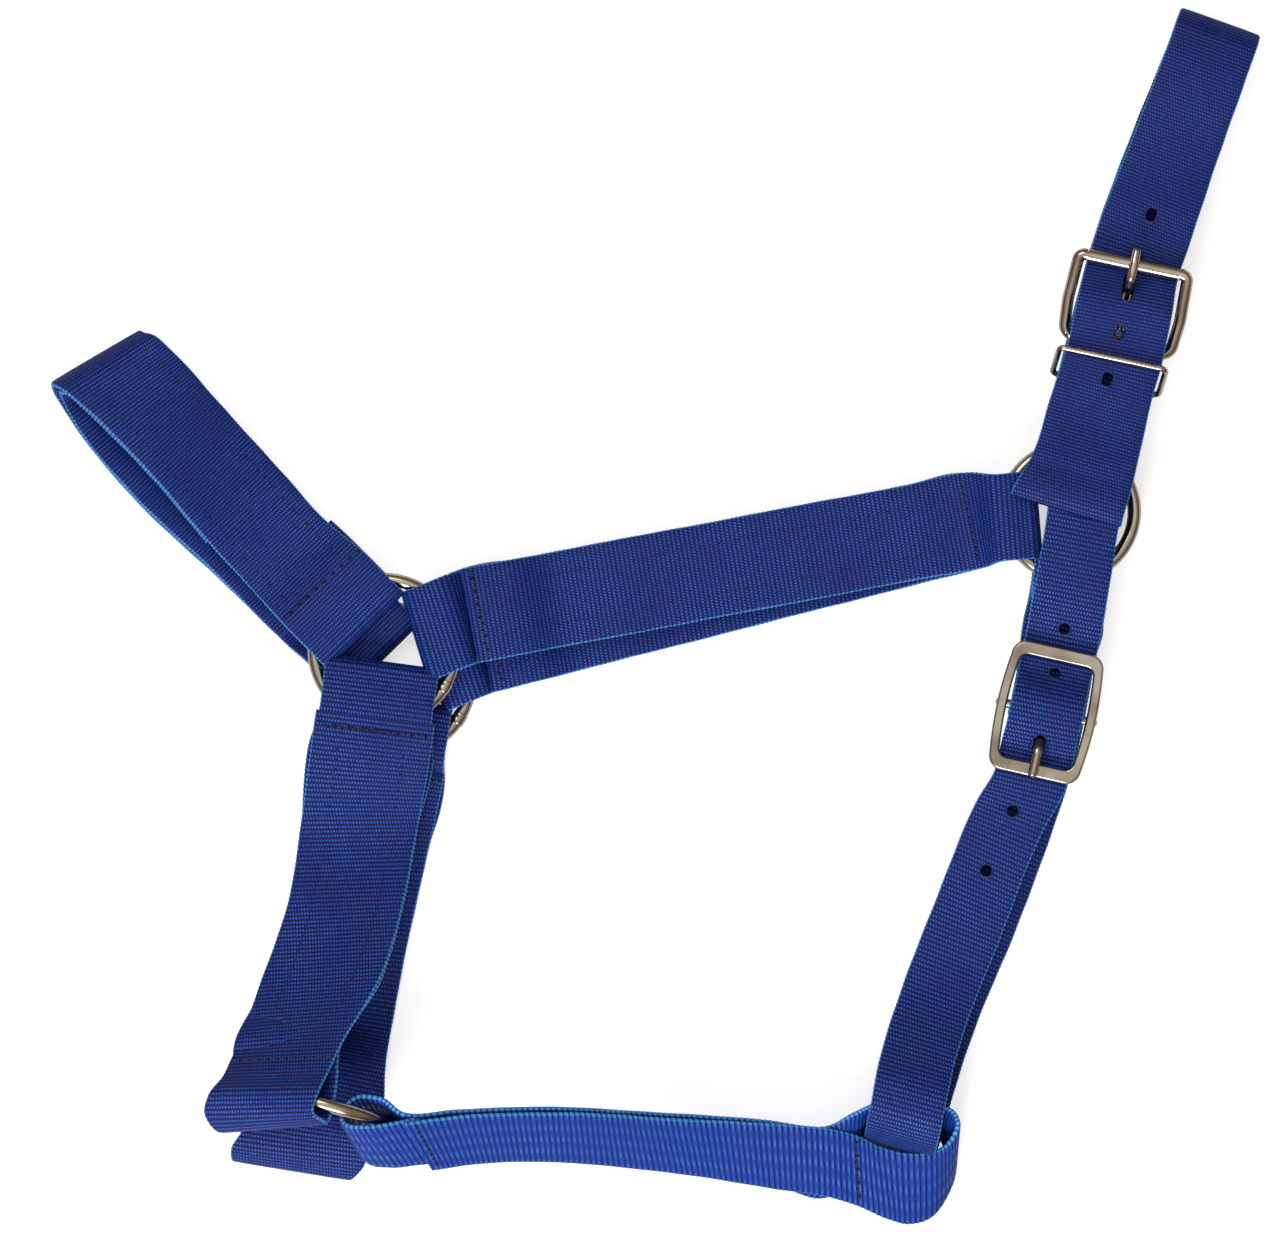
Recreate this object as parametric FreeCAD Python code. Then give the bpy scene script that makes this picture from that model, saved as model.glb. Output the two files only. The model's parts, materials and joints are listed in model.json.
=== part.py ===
"""Webbing head halter, lying flat on its side: near half above, far half on the floor.

+X runs from the nose towards the poll, +Y from the chin towards the nose, +Z up. Millimetres.
"""
import FreeCAD, Part
import math
import os

from FreeCAD import Vector

# Webbing
PLY = 2.2              # thickness of one layer of webbing
PLY_GAP = 0.2          # air between two sewn layers
PITCH = PLY + PLY_GAP
NOSE_WEB = 38.0        # width of the noseband and the chin straps
CHEEK_WEB = 31.5
CROWN_WEB = 32.0
THROAT_WEB = 24.4
CONNECTOR_WEB = 25.4
SOFT_GAP = 0.35        # air between webbing and metal
EYE_END_GAP = 0.5      # air at the blind end of an eye
TURN_STEPS = 6         # facets round each eye
HOLE = 4.2             # punched hole
HOLE_PITCH_CROWN = 17.2
TAIL_HOLE_REACH = 46.3    # top ring centre to the hole below the crown keeper

# Rings
NOSE_RING_R = 23.4     # centre line of the wire
NOSE_WIRE = 2.2
TOP_RING_R = 21.5
TOP_WIRE = 2.1

# Layout, seen from above
NEAR_NOSE = Vector(-90.7, -12.3, 0)
FAR_NOSE = Vector(-85.7, -22.3, 0)
TOP_RINGS = Vector(137.3, 33.7, 0)
CHIN_RING = Vector(-108.7, -162.9, 0)
NOSE_FOLD = Vector(-185.7, 84.3, 0)
THROAT_FOLD = Vector(82.5, -184.0, 0)

# Headings in degrees, from +X towards +Y
NOSE_OUT = 134.5
CHEEK_OUT = 22.0
CHEEK_RUN = 10.2
CHIN_OUT = 262.4
CHEEK_IN = 185.0
CROWN_OUT = 74.5
CROWN_TOP = 70.3
BUCKLE_TURN = 78.0
THROAT_OUT = 264.0
THROAT_RUN = 257.3
CHIN_RING_TURN = -16.0
NEAR_CHIN_TURN = 137.0  # places round the chin ring, from its level direction
FAR_CHIN_TURN = 268.0
CONNECTOR_TURN = 15.0

# Eye widths, where the webbing is gathered on a ring
NOSE_EYE = 33.0
CHEEK_EYE = 27.0
CHIN_EYE = 35.0
CHEEK_TOP_EYE = 22.0
CROWN_EYE = 28.0
THROAT_EYE = 20.0
CONNECTOR_EYE = 22.5

# Buckles
HEEL_REACH = 57.7      # top ring centre to the heel bar
ROLLER_REACH = 27.0    # heel bar to the roller
FRAME_WIRE = 2.0
ROLLER_BAR = 1.4
ROLLER_R = 2.35
ROLLER_LENGTH = 31.0
CROWN_FRAME_HALF = 19.0
TONGUE_R = 1.6
TONGUE_PLAY = 0.06     # running fit of a tongue on its bar
THROAT_BAR_R = 1.5
THROAT_FRAME_HALF_WIDTH = 16.4
THROAT_FRAME_HALF_LENGTH = 22.0
THROAT_FRAME_BAR = 3.8
THROAT_FRAME_THICK = 3.0
KEEPER_WIRE = 1.0
KEEPER_REACH = 48.4
KEEPER_LEAN = 4.4      # how far each bar of the keeper is shifted along the strap

UP = Vector(0, 0, 1)
EYE_BEND = SOFT_GAP + PLY / 2
FAR_Z = PLY + SOFT_GAP + NOSE_WIRE
NEAR_Z = 3 * (PLY + SOFT_GAP) + 3 * NOSE_WIRE + PLY_GAP + 0.2
LOW_FAR = PLY / 2


def heading(angle):
    """Unit vector in the plane of the floor."""
    return Vector(math.cos(math.radians(angle)), math.sin(math.radians(angle)), 0)


def left_of(angle):
    return heading(angle + 90)


class Ring:
    """A welded wire ring: centre, centre-line radius, wire radius and axis."""

    def __init__(self, centre, radius, wire, axis=UP):
        self.centre = centre
        self.radius = radius
        self.wire = wire
        self.axis = axis

    def solid(self):
        return Part.makeTorus(self.radius, self.wire, self.centre, self.axis)

    def inner_edge(self, width):
        """Distance from the centre to the wire at the ends of an eye of this width."""
        return math.sqrt((self.radius - self.wire) ** 2 - (width / 2) ** 2)


NOSE_NEAR_RING = Ring(NEAR_NOSE + UP * NEAR_Z, NOSE_RING_R, NOSE_WIRE)
NOSE_FAR_RING = Ring(FAR_NOSE + UP * FAR_Z, NOSE_RING_R, NOSE_WIRE)
TOP_NEAR_RING = Ring(TOP_RINGS + UP * NEAR_Z, TOP_RING_R, TOP_WIRE)
TOP_FAR_RING = Ring(TOP_RINGS + UP * FAR_Z, TOP_RING_R, TOP_WIRE)
CHIN_E = heading(CHIN_RING_TURN)
CHIN_N = left_of(CHIN_RING_TURN)
CHIN_Z = NOSE_RING_R + NOSE_WIRE + SOFT_GAP + PLY + 0.8
CHIN_VERTICAL_RING = Ring(CHIN_RING + UP * CHIN_Z, NOSE_RING_R, NOSE_WIRE, CHIN_N)


def station(point, across, width):
    """One cross-section of a strap: middle, unit vector across it, width."""
    return (point, across, width)


def at(x, y, z, angle, width):
    """A section of a strap that lies flat and runs along the given heading."""
    return station(Vector(x, y, z), left_of(angle), width)


def lifted(section, rise):
    point, across, width = section
    return station(point + UP * rise, across, width)


def web(sections, thickness=PLY):
    """A length of webbing lofted through its sections."""
    outlines = []
    last = len(sections) - 1
    for index, (point, across, width) in enumerate(sections):
        ahead = sections[min(index + 1, last)][0]
        behind = sections[max(index - 1, 0)][0]
        normal = (ahead - behind).cross(across)
        normal.normalize()
        side = across * (width / 2)
        face = normal * (thickness / 2)
        corners = [point + side + face, point - side + face, point - side - face, point + side - face]
        outlines.append(Part.makePolygon(corners + corners[:1]))
    return Part.makeLoft(outlines, True, True)


def flat_eye(ring, outward, width, across):
    """Sections round the wire of a ring that lies flat, upper side first."""
    bend = ring.wire + EYE_BEND
    turn = ring.inner_edge(width) - EYE_END_GAP + ring.wire + SOFT_GAP
    out = ring.radius + ring.wire + 1.0
    rows = [(out, bend)]
    for step in range(TURN_STEPS + 1):
        angle = math.radians(90 + 180 * step / TURN_STEPS)
        rows.append((turn + bend * math.cos(angle), bend * math.sin(angle)))
    rows.append((out, -bend))
    away = heading(outward)
    return [station(ring.centre + away * reach + UP * rise, across, width) for reach, rise in rows]


def lapped_strap(start_eye, spine, end_eye, lap=2):
    """A strap of two layers: over the top, round the far eye, back below, round the near eye, under its end."""
    over = [lifted(section, PITCH * (2 if index < lap else 1)) for index, section in enumerate(spine)]
    below = list(reversed(spine))
    under = [lifted(section, PITCH) for section in spine[:lap]]
    return web(over + end_eye + below + list(reversed(start_eye)) + under)


def spaced(start, end, count):
    """Evenly spaced points from start to end."""
    return [start + (end - start) * (index / (count - 1)) for index in range(count)]


def slot(point, angle, length, width, depth=30.0):
    """A box along a strap, for a punched slot."""
    box = Part.makeBox(length, width, depth, Vector(-length / 2, -width / 2, -depth / 2))
    box.rotate(Vector(0, 0, 0), UP, angle)
    box.translate(point)
    return box


def punched(strap, points):
    for point in points:
        strap = strap.cut(Part.makeCylinder(HOLE / 2, 8.0, point - UP * 4.0))
    return strap


# ---------------------------------------------------------------- webbing

def cheek_strap(start_ring, end_ring, low, sag):
    """Cheek strap between a nose ring and a top ring, sagging between them."""
    across = left_of(CHEEK_RUN)
    first = start_ring.centre + heading(CHEEK_OUT) * 31.0
    final = end_ring.centre + heading(CHEEK_IN) * 30.0
    spine = []
    shares = [0.0, 0.11, 0.15, 0.3, 0.5, 0.7, 0.87, 1.0]
    for share in shares:
        point = first + (final - first) * share
        point.z = low - sag * math.sin(math.pi * share) ** 0.5
        spine.append(station(point, across, CHEEK_WEB))
    start_eye = flat_eye(start_ring, CHEEK_OUT, CHEEK_EYE, left_of(CHEEK_OUT))
    end_eye = flat_eye(end_ring, CHEEK_IN, CHEEK_TOP_EYE, left_of(CHEEK_IN - 180))
    return lapped_strap(start_eye, spine, end_eye)


def noseband():
    """Doubled noseband: outer and inner layer, folded over the nose, an eye on each nose ring."""
    near_low = NOSE_NEAR_RING.centre.z - NOSE_WIRE - EYE_BEND
    near_start = NEAR_NOSE + heading(NOSE_OUT) * 32.0
    far_start = FAR_NOSE + heading(NOSE_OUT) * 32.0
    fold_across = left_of(NOSE_OUT)
    fold_start = NOSE_FOLD - heading(NOSE_OUT) * 12.0
    near = [station(point + UP * near_low, fold_across, NOSE_WEB) for point in spaced(near_start, fold_start, 5)]
    far_points = [far_start, Vector(-131.0, 14.5, 0), Vector(-158.0, 42.0, 0), fold_start]
    far = [station(point + UP * LOW_FAR, fold_across, NOSE_WEB) for point in far_points]
    outer_r = (near_low + PITCH - LOW_FAR) / 2
    middle = fold_start + UP * (LOW_FAR + outer_r)
    away = heading(NOSE_OUT)

    def fold(radius):
        turn = []
        for step in range(1, 8):
            angle = math.radians(90 - 180 * step / 8)
            offset = away * (radius * math.cos(angle)) + UP * (radius * math.sin(angle))
            turn.append(station(middle + offset, fold_across, NOSE_WEB))
        return turn

    near_eye = flat_eye(NOSE_NEAR_RING, NOSE_OUT, NOSE_EYE, fold_across)
    far_eye = flat_eye(NOSE_FAR_RING, NOSE_OUT, NOSE_EYE, fold_across)
    outer_near = [lifted(section, PITCH * (2 if index == 0 else 1)) for index, section in enumerate(near)]
    inner_far = [lifted(section, PITCH) for section in far]
    lap = lifted(near[0], PITCH)
    sections = outer_near + fold(outer_r) + list(reversed(far)) + list(reversed(far_eye))
    sections += inner_far + list(reversed(fold(outer_r - PITCH))) + list(reversed(near))
    sections += list(reversed(near_eye)) + [lap]
    return web(sections)


def chin_ring_side(angle, side):
    """Outward direction at an angle round the chin ring, and the direction across a strap there."""
    turn = math.radians(angle)
    radial = CHIN_E * math.cos(turn) + UP * math.sin(turn)
    across = (CHIN_E * math.sin(turn) - UP * math.cos(turn)) * side
    return radial, across


def edge_eye(angle, side, width, drop):
    """Sections of an eye whose strap leaves square to the chin ring: outer layer first."""
    radial, across = chin_ring_side(angle, side)
    outside = NOSE_RING_R + NOSE_WIRE + EYE_BEND
    inside = CHIN_VERTICAL_RING.inner_edge(width) - EYE_END_GAP - PLY / 2
    bottom = NOSE_WIRE + EYE_BEND + drop
    rows = [(outside, 8.0), (outside, 3.0 - bottom), (outside - 1.0, 1.0 - bottom), (outside - 3.0, -bottom)]
    rows += [(inside + 3.0, -bottom), (inside + 1.0, 1.0 - bottom), (inside, 3.0 - bottom), (inside, 5.0)]
    centre = CHIN_VERTICAL_RING.centre
    return [station(centre + radial * reach + CHIN_N * shift, across, width) for reach, shift in rows]


def layered(point, across, along, width, rise):
    """A section offset square to the face of a twisted strap."""
    normal = along.cross(across)
    normal.normalize()
    return station(point + normal * rise, across, width)


def near_chin_strap():
    """From the near nose ring, turning on edge as it comes down to the chin ring."""
    low = NOSE_NEAR_RING.centre.z - NOSE_WIRE - EYE_BEND
    start = NEAR_NOSE + heading(CHIN_OUT) * 31.0 + UP * low
    radial = chin_ring_side(NEAR_CHIN_TURN, 1)[0]
    centre = CHIN_VERTICAL_RING.centre
    points = [
        start,
        Vector(-99.0, -70.0, low),
        Vector(-103.3, -95.7, low + 1.5),
        Vector(-108.5, -120.5, low + 9.0),
        centre + radial * 17.5 + CHIN_N * 20.0,
    ]
    leans = [0.0, 0.0, 12.0, 30.0, 47.0]
    spine = []
    for point, lean in zip(points, leans):
        flat = left_of(CHIN_OUT)
        across = flat * math.cos(math.radians(lean)) + UP * math.sin(math.radians(lean))
        spine.append((point, across))
    sections_top = []
    sections_low = []
    for index, (point, across) in enumerate(spine):
        ahead = points[min(index + 1, len(points) - 1)]
        behind = points[max(index - 1, 0)]
        rise = PITCH * (2 if index == 0 else 1)
        sections_top.append(layered(point, across, ahead - behind, NOSE_WEB, rise))
        sections_low.append(layered(point, across, ahead - behind, NOSE_WEB, 0.0))
    top_eye = flat_eye(NOSE_NEAR_RING, CHIN_OUT, CHIN_EYE, left_of(CHIN_OUT))
    lap = layered(start, left_of(CHIN_OUT), heading(CHIN_OUT), NOSE_WEB, PITCH)
    bottom_eye = edge_eye(NEAR_CHIN_TURN, 1, CHIN_EYE, 1.0)
    return web(sections_top + bottom_eye + list(reversed(sections_low)) + list(reversed(top_eye)) + [lap])


def far_chin_strap():
    """From the far nose ring along the floor, its long lower eye standing open under the chin ring."""
    start = FAR_NOSE + heading(CHIN_OUT) * 31.0 + UP * LOW_FAR
    centre = CHIN_VERTICAL_RING.centre
    radial, end_across = chin_ring_side(FAR_CHIN_TURN, -1)
    floor_end = centre + radial * (NOSE_RING_R + NOSE_WIRE + EYE_BEND) + CHIN_N * 30.0
    points = [start, Vector(-97.0, -80.0, LOW_FAR), Vector(-103.0, -112.0, LOW_FAR), floor_end]
    top = []
    low = []
    for index, point in enumerate(points):
        last = index == len(points) - 1
        across = end_across if last else left_of(CHIN_OUT - 4.0)
        low.append(station(point, across, NOSE_WEB))
        top.append(station(point + UP * PITCH * (2 if index == 0 else 1), across, NOSE_WEB))
    top_eye = flat_eye(NOSE_FAR_RING, CHIN_OUT, CHIN_EYE, left_of(CHIN_OUT))
    lap = lifted(low[0], PITCH)
    bottom_eye = list(reversed(edge_eye(FAR_CHIN_TURN, -1, CHIN_EYE, 9.0)))
    return web(top + bottom_eye + list(reversed(low)) + list(reversed(top_eye)) + [lap])


def connector_strap():
    """Chin ring to throat strap: on edge at the ring, flat where it loops round the throat strap."""
    radial, end_across = chin_ring_side(CONNECTOR_TURN, -1)
    centre = CHIN_VERTICAL_RING.centre
    run = -4.0
    points = [
        centre + radial * 30.0,
        Vector(-66.0, -174.5, 26.5),
        Vector(-50.0, -175.8, 23.0),
        Vector(-15.0, -176.5, 17.0),
        Vector(25.0, -179.5, 10.5),
        Vector(56.0, -183.0, 5.0),
    ]
    leans = [70.0, 58.0, 48.0, 32.0, 12.0, 0.0]
    top = []
    low = []
    for index, (point, lean) in enumerate(zip(points, leans)):
        flat = left_of(run)
        across = flat * math.cos(math.radians(lean)) + UP * math.sin(math.radians(lean))
        ahead = points[min(index + 1, len(points) - 1)]
        behind = points[max(index - 1, 0)]
        top.append(layered(point, across, ahead - behind, CONNECTOR_WEB, PITCH * (2 if index < 2 else 1)))
        low.append(layered(point, across, ahead - behind, CONNECTOR_WEB, 0.0))
    lap = [layered(points[index], low[index][1], points[1] - points[0], CONNECTOR_WEB, PITCH) for index in range(2)]
    bend = NOSE_WIRE + EYE_BEND
    inner = CHIN_VERTICAL_RING.inner_edge(CONNECTOR_EYE)
    turn = inner - EYE_END_GAP + NOSE_WIRE + SOFT_GAP
    rows = [(NOSE_RING_R + NOSE_WIRE + 1.0, bend)]
    for step in range(TURN_STEPS + 1):
        angle = math.radians(90 + 180 * step / TURN_STEPS)
        rows.append((turn + bend * math.cos(angle), bend * math.sin(angle)))
    rows.append((NOSE_RING_R + NOSE_WIRE + 1.0, -bend))
    eye = [station(centre + radial * reach - CHIN_N * shift, end_across, CONNECTOR_EYE) for reach, shift in rows]
    loop_across = left_of(-10.0)
    loop_middle = THROAT_FOLD + Vector(1.2, -3.3, 0)
    high = 4 * PLY + 4.5
    rows = [(-15.5, high), (12.0, high), (15.5, high - 2.0), (16.8, high / 2 + 0.5), (15.5, LOW_FAR + 2.0)]
    rows += [(12.0, LOW_FAR), (-17.0, LOW_FAR)]
    away = heading(-10.0)
    loop = [station(loop_middle + away * reach + UP * rise, loop_across, CONNECTOR_WEB) for reach, rise in rows]
    return web(top + loop + list(reversed(low)) + list(reversed(eye)) + lap)


def crown_point(reach, z):
    return TOP_RINGS + heading(CROWN_OUT) * reach + UP * z


CROWN_HEEL = crown_point(HEEL_REACH, NEAR_Z)
CROWN_OVER_HEEL = NEAR_Z + FRAME_WIRE + SOFT_GAP + PLY + SOFT_GAP + PLY / 2 + 0.2
CROWN_UNDER_ROLLER = NEAR_Z + 2.4
ROLLER_CENTRE = CROWN_HEEL + heading(BUCKLE_TURN) * ROLLER_REACH
ROLLER_CENTRE.z = CROWN_UNDER_ROLLER + PLY / 2 + SOFT_GAP + ROLLER_R
CROWN_FOLD = Vector(187.7, 197.0, 0)
OVER_RING = NEAR_Z + NOSE_WIRE + SOFT_GAP + PLY + SOFT_GAP + PLY / 2
TAIL_Z = OVER_RING + PLY + SOFT_GAP


def crown_strap():
    """Single web: far top ring, over the poll fold, under the roller, over the heel bar, tail over the ring."""
    turn = left_of(CROWN_TOP)
    side = left_of(BUCKLE_TURN)
    low = left_of(CROWN_OUT - 1.0)
    roller_exit = ROLLER_CENTRE + heading(CROWN_TOP) * 6.0
    roller_entry = ROLLER_CENTRE - heading(BUCKLE_TURN) * 2.0
    over_front = CROWN_HEEL + heading(BUCKLE_TURN) * 3.5
    over_back = CROWN_HEEL - heading(BUCKLE_TURN) * 4.0

    def level(point, z):
        return Vector(point.x, point.y, z)

    radius = (CROWN_UNDER_ROLLER - LOW_FAR) / 2
    middle = level(CROWN_FOLD - heading(CROWN_TOP) * (radius + PLY / 2), LOW_FAR + radius)
    sections = [
        station(crown_point(1.5, TAIL_Z), low, CROWN_WEB + 2.0),
        station(crown_point(14.0, TAIL_Z), low, CROWN_WEB + 1.0),
        station(crown_point(34.0, CROWN_OVER_HEEL), low, CROWN_WEB),
        station(crown_point(46.0, CROWN_OVER_HEEL), low, CROWN_WEB),
        station(level(over_back, CROWN_OVER_HEEL), side, CROWN_WEB),
        station(level(over_front, CROWN_OVER_HEEL), side, CROWN_WEB),
        station(level(roller_entry, CROWN_UNDER_ROLLER), side, CROWN_WEB - 1.5),
        station(level(roller_exit, CROWN_UNDER_ROLLER), turn, CROWN_WEB - 1.5),
        station(level(middle, CROWN_UNDER_ROLLER), turn, CROWN_WEB - 4.0),
    ]
    for step in range(1, 8):
        angle = math.radians(90 - 180 * step / 8)
        offset = heading(CROWN_TOP) * (radius * math.cos(angle)) + UP * (radius * math.sin(angle))
        sections.append(station(middle + offset, turn, CROWN_WEB - 4.0))
    sections.append(station(level(middle, LOW_FAR), turn, CROWN_WEB - 4.0))
    sections.append(station(level(roller_exit, LOW_FAR), turn, CROWN_WEB - 1.5))
    sections.append(station(crown_point(45.0, LOW_FAR), left_of(CROWN_OUT), CROWN_WEB))
    sections.append(station(crown_point(31.0, LOW_FAR), left_of(CROWN_OUT), CROWN_WEB - 1.0))
    eye = flat_eye(TOP_FAR_RING, CROWN_OUT, CROWN_EYE, left_of(CROWN_OUT))
    sections += list(reversed(eye))
    sections.append(station(crown_point(34.0, LOW_FAR + PITCH), left_of(CROWN_OUT), CROWN_WEB - 1.0))
    sections.append(station(crown_point(62.0, LOW_FAR + PITCH), left_of(CROWN_OUT), CROWN_WEB - 1.0))
    strap = web(sections)
    holes = [
        crown_point(TAIL_HOLE_REACH, CROWN_OVER_HEEL),
        level(CROWN_HEEL + heading(BUCKLE_TURN) * 5.6, CROWN_OVER_HEEL),
        level(ROLLER_CENTRE + heading(CROWN_TOP) * HOLE_PITCH_CROWN, CROWN_UNDER_ROLLER),
    ]
    strap = punched(strap, holes)
    slot_middle = CROWN_HEEL + heading(BUCKLE_TURN) * 19.0
    return strap.cut(slot(slot_middle, BUCKLE_TURN, 12.0, 2 * TONGUE_R + 1.0, 24.0))


def bar_eye(bar, angle, wire, width, across, out):
    """Sections of a chape round a buckle bar, upper side first; the chape leaves opposite to angle."""
    bend = wire + EYE_BEND
    away = heading(angle)
    rows = [(-out, bend)]
    for step in range(TURN_STEPS + 1):
        turn = math.radians(90 - 180 * step / TURN_STEPS)
        rows.append((bend * math.cos(turn), bend * math.sin(turn)))
    rows.append((-out, -bend))
    return [station(bar + away * reach + UP * rise, across, width) for reach, rise in rows]


def crown_buckle_chape():
    """Folded web from the near top ring to the heel bar, lapped and sewn between them."""
    across = left_of(CROWN_OUT)
    bar = bar_eye(CROWN_HEEL, BUCKLE_TURN, FRAME_WIRE, CROWN_WEB - 4.6, left_of(BUCKLE_TURN), 1.5)
    ring = flat_eye(TOP_NEAR_RING, CROWN_OUT, CROWN_EYE, across)
    spine = [station(crown_point(reach, NEAR_Z - PITCH), across, CROWN_WEB - 1.5) for reach in (31.5, 38.0, 48.0)]
    over = [lifted(section, PITCH) for section in spine]
    sections = over + bar + list(reversed(spine)) + list(reversed(ring)) + [lifted(spine[0], PITCH * 2)]
    chape = web(sections)
    return chape.cut(slot(CROWN_HEEL, BUCKLE_TURN, 9.5, 2 * TONGUE_R + 1.2, 24.0))


THROAT_BAR = Vector(129.3, -33.0, NEAR_Z + 0.8)
THROAT_PLANE = THROAT_BAR.z + 2.9
UNDER_BAR = THROAT_PLANE - THROAT_FRAME_THICK / 2 - SOFT_GAP - PLY / 2
OVER_BAR = THROAT_BAR.z + THROAT_BAR_R + SOFT_GAP + PLY + SOFT_GAP + PLY / 2
CHAPE_Z = UNDER_BAR - PLY / 2 - SOFT_GAP - PLY - PITCH / 2


def throat_strap():
    """Far top ring, down, fold at the throat, up under and over the buckle bars, tip over the near ring."""
    run = heading(THROAT_RUN)
    across = left_of(THROAT_RUN)

    def by_bar(reach, z):
        point = THROAT_BAR - run * reach
        return station(Vector(point.x, point.y, z), across, THROAT_WEB)

    radius = 3.5
    fold_z = PLY + LOW_FAR + 0.3
    tip = at(142.5, 38.0, OVER_RING, THROAT_RUN, THROAT_WEB)
    sections = [
        tip,
        at(137.9, 9.0, OVER_RING, THROAT_RUN, THROAT_WEB),
        by_bar(22.8, UNDER_BAR),
        by_bar(15.4, UNDER_BAR),
        by_bar(3.0, OVER_BAR),
        by_bar(-3.0, OVER_BAR),
        by_bar(-15.4, UNDER_BAR),
        by_bar(-22.8, UNDER_BAR),
        at(117.0, -68.0, UNDER_BAR - 1.0, 249.0, THROAT_WEB),
        at(102.5, -104.0, UNDER_BAR - 2.0, 248.0, THROAT_WEB),
        at(93.0, -128.0, UNDER_BAR - 3.0, 250.0, THROAT_WEB),
        at(85.2, -161.0, fold_z + 2 * radius, 256.0, THROAT_WEB),
    ]
    away = heading(256.0)
    middle = THROAT_FOLD + UP * (fold_z + radius)
    for step in range(0, 9):
        angle = math.radians(90 - 180 * step / 8)
        offset = away * (radius * math.cos(angle)) + UP * (radius * math.sin(angle))
        sections.append(station(middle + offset, left_of(256.0), THROAT_WEB))
    sections += [
        at(87.5, -161.0, fold_z, 256.0, THROAT_WEB),
        at(97.5, -128.0, LOW_FAR, 250.0, THROAT_WEB),
        at(107.0, -104.0, LOW_FAR, 248.0, THROAT_WEB),
        at(120.5, -68.0, LOW_FAR, 249.0, THROAT_WEB),
        at(130.5, -33.0, LOW_FAR, THROAT_RUN, THROAT_WEB),
        at(134.0, -5.0, LOW_FAR, THROAT_RUN, THROAT_WEB),
    ]
    eye = flat_eye(TOP_FAR_RING, THROAT_OUT, THROAT_EYE, left_of(THROAT_OUT))
    sections += list(reversed(eye))
    sections.append(at(134.0, -5.0, LOW_FAR + PITCH, THROAT_RUN, THROAT_WEB))
    sections.append(at(130.5, -33.0, LOW_FAR + PITCH, THROAT_RUN, THROAT_WEB))
    strap = web(sections)
    holes = [by_bar(reach, UNDER_BAR + 2.0)[0] for reach in (28.6, 13.4)]
    holes += [Vector(118.3, -65.7, UNDER_BAR - 1.0), Vector(110.7, -86.0, UNDER_BAR - 1.5)]
    strap = punched(strap, holes)
    slot_middle = THROAT_BAR + run * 10.5
    return strap.cut(slot(slot_middle, THROAT_RUN, 10.0, 2 * TONGUE_R + 1.0, 16.0))


def throat_buckle_chape():
    """Folded web from the near top ring to the centre bar of the throat buckle."""
    across = left_of(THROAT_RUN)
    ring = flat_eye(TOP_NEAR_RING, THROAT_OUT, THROAT_EYE, left_of(THROAT_OUT))
    bar = bar_eye(THROAT_BAR, THROAT_RUN, THROAT_BAR_R, THROAT_WEB, across, 1.0)
    run = heading(THROAT_RUN)
    spine = []
    for reach in (33.0, 20.0, 9.0):
        point = THROAT_BAR - run * reach
        spine.append(station(Vector(point.x, point.y, CHAPE_Z - PITCH / 2), across, THROAT_WEB))
    over = [lifted(section, PITCH) for section in spine]
    sections = over + bar + list(reversed(spine)) + list(reversed(ring))
    sections.append(lifted(over[0], PITCH))
    chape = web(sections)
    return chape.cut(slot(THROAT_BAR, THROAT_RUN, 8.4, 2 * TONGUE_R + 1.2, 20.0))


# ---------------------------------------------------------------- metal

def pipe(points, radii, wire):
    """A round wire along straight runs joined by arcs, in one plane."""
    edges = []
    start = points[0]
    for index in range(1, len(points) - 1):
        corner = points[index]
        back = points[index - 1] - corner
        back.normalize()
        ahead = points[index + 1] - corner
        ahead.normalize()
        half = back.getAngle(ahead) / 2
        reach = radii[index - 1] / math.tan(half)
        entry = corner + back * reach
        leave = corner + ahead * reach
        inward = back + ahead
        inward.normalize()
        centre = corner + inward * (radii[index - 1] / math.sin(half))
        middle = centre - inward * radii[index - 1]
        edges.append(Part.LineSegment(start, entry).toShape())
        edges.append(Part.Arc(entry, middle, leave).toShape())
        start = leave
    edges.append(Part.LineSegment(start, points[-1]).toShape())
    path = Part.Wire(edges)
    circle = Part.Wire(Part.makeCircle(wire, points[0], points[1] - points[0]))
    return path.makePipeShell([circle], True, False)


def crown_axes():
    """Across and along unit vectors of the crown buckle, along rising from heel bar to roller."""
    along = ROLLER_CENTRE - CROWN_HEEL
    along.normalize()
    return left_of(BUCKLE_TURN), along


def crown_buckle_frame():
    """Wire frame: heel bar, bowed sides, thin bar through the roller."""
    across, along = crown_axes()
    length = (ROLLER_CENTRE - CROWN_HEEL).Length
    frame = None
    for side in (1, -1):
        points = [
            CROWN_HEEL,
            CROWN_HEEL + across * (side * (CROWN_FRAME_HALF - 1.0)),
            CROWN_HEEL + across * (side * CROWN_FRAME_HALF) + along * 12.0,
            CROWN_HEEL + across * (side * (CROWN_FRAME_HALF - 0.6)) + along * length,
            CROWN_HEEL + across * (side * (ROLLER_LENGTH / 2 + 0.3)) + along * length,
        ]
        half = pipe(points, [3.8, 12.0, 2.2], FRAME_WIRE)
        frame = half if frame is None else frame.fuse(half)
    span = ROLLER_LENGTH / 2 + 0.6
    bar = Part.makeCylinder(ROLLER_BAR, 2 * span, ROLLER_CENTRE - across * span, across)
    return frame.fuse(bar).removeSplitter()


def crown_buckle_roller():
    across, along = crown_axes()
    base = ROLLER_CENTRE - across * (ROLLER_LENGTH / 2)
    tube = Part.makeCylinder(ROLLER_R, ROLLER_LENGTH, base, across)
    return tube.cut(Part.makeCylinder(ROLLER_BAR + TONGUE_PLAY, ROLLER_LENGTH, base, across))


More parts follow.
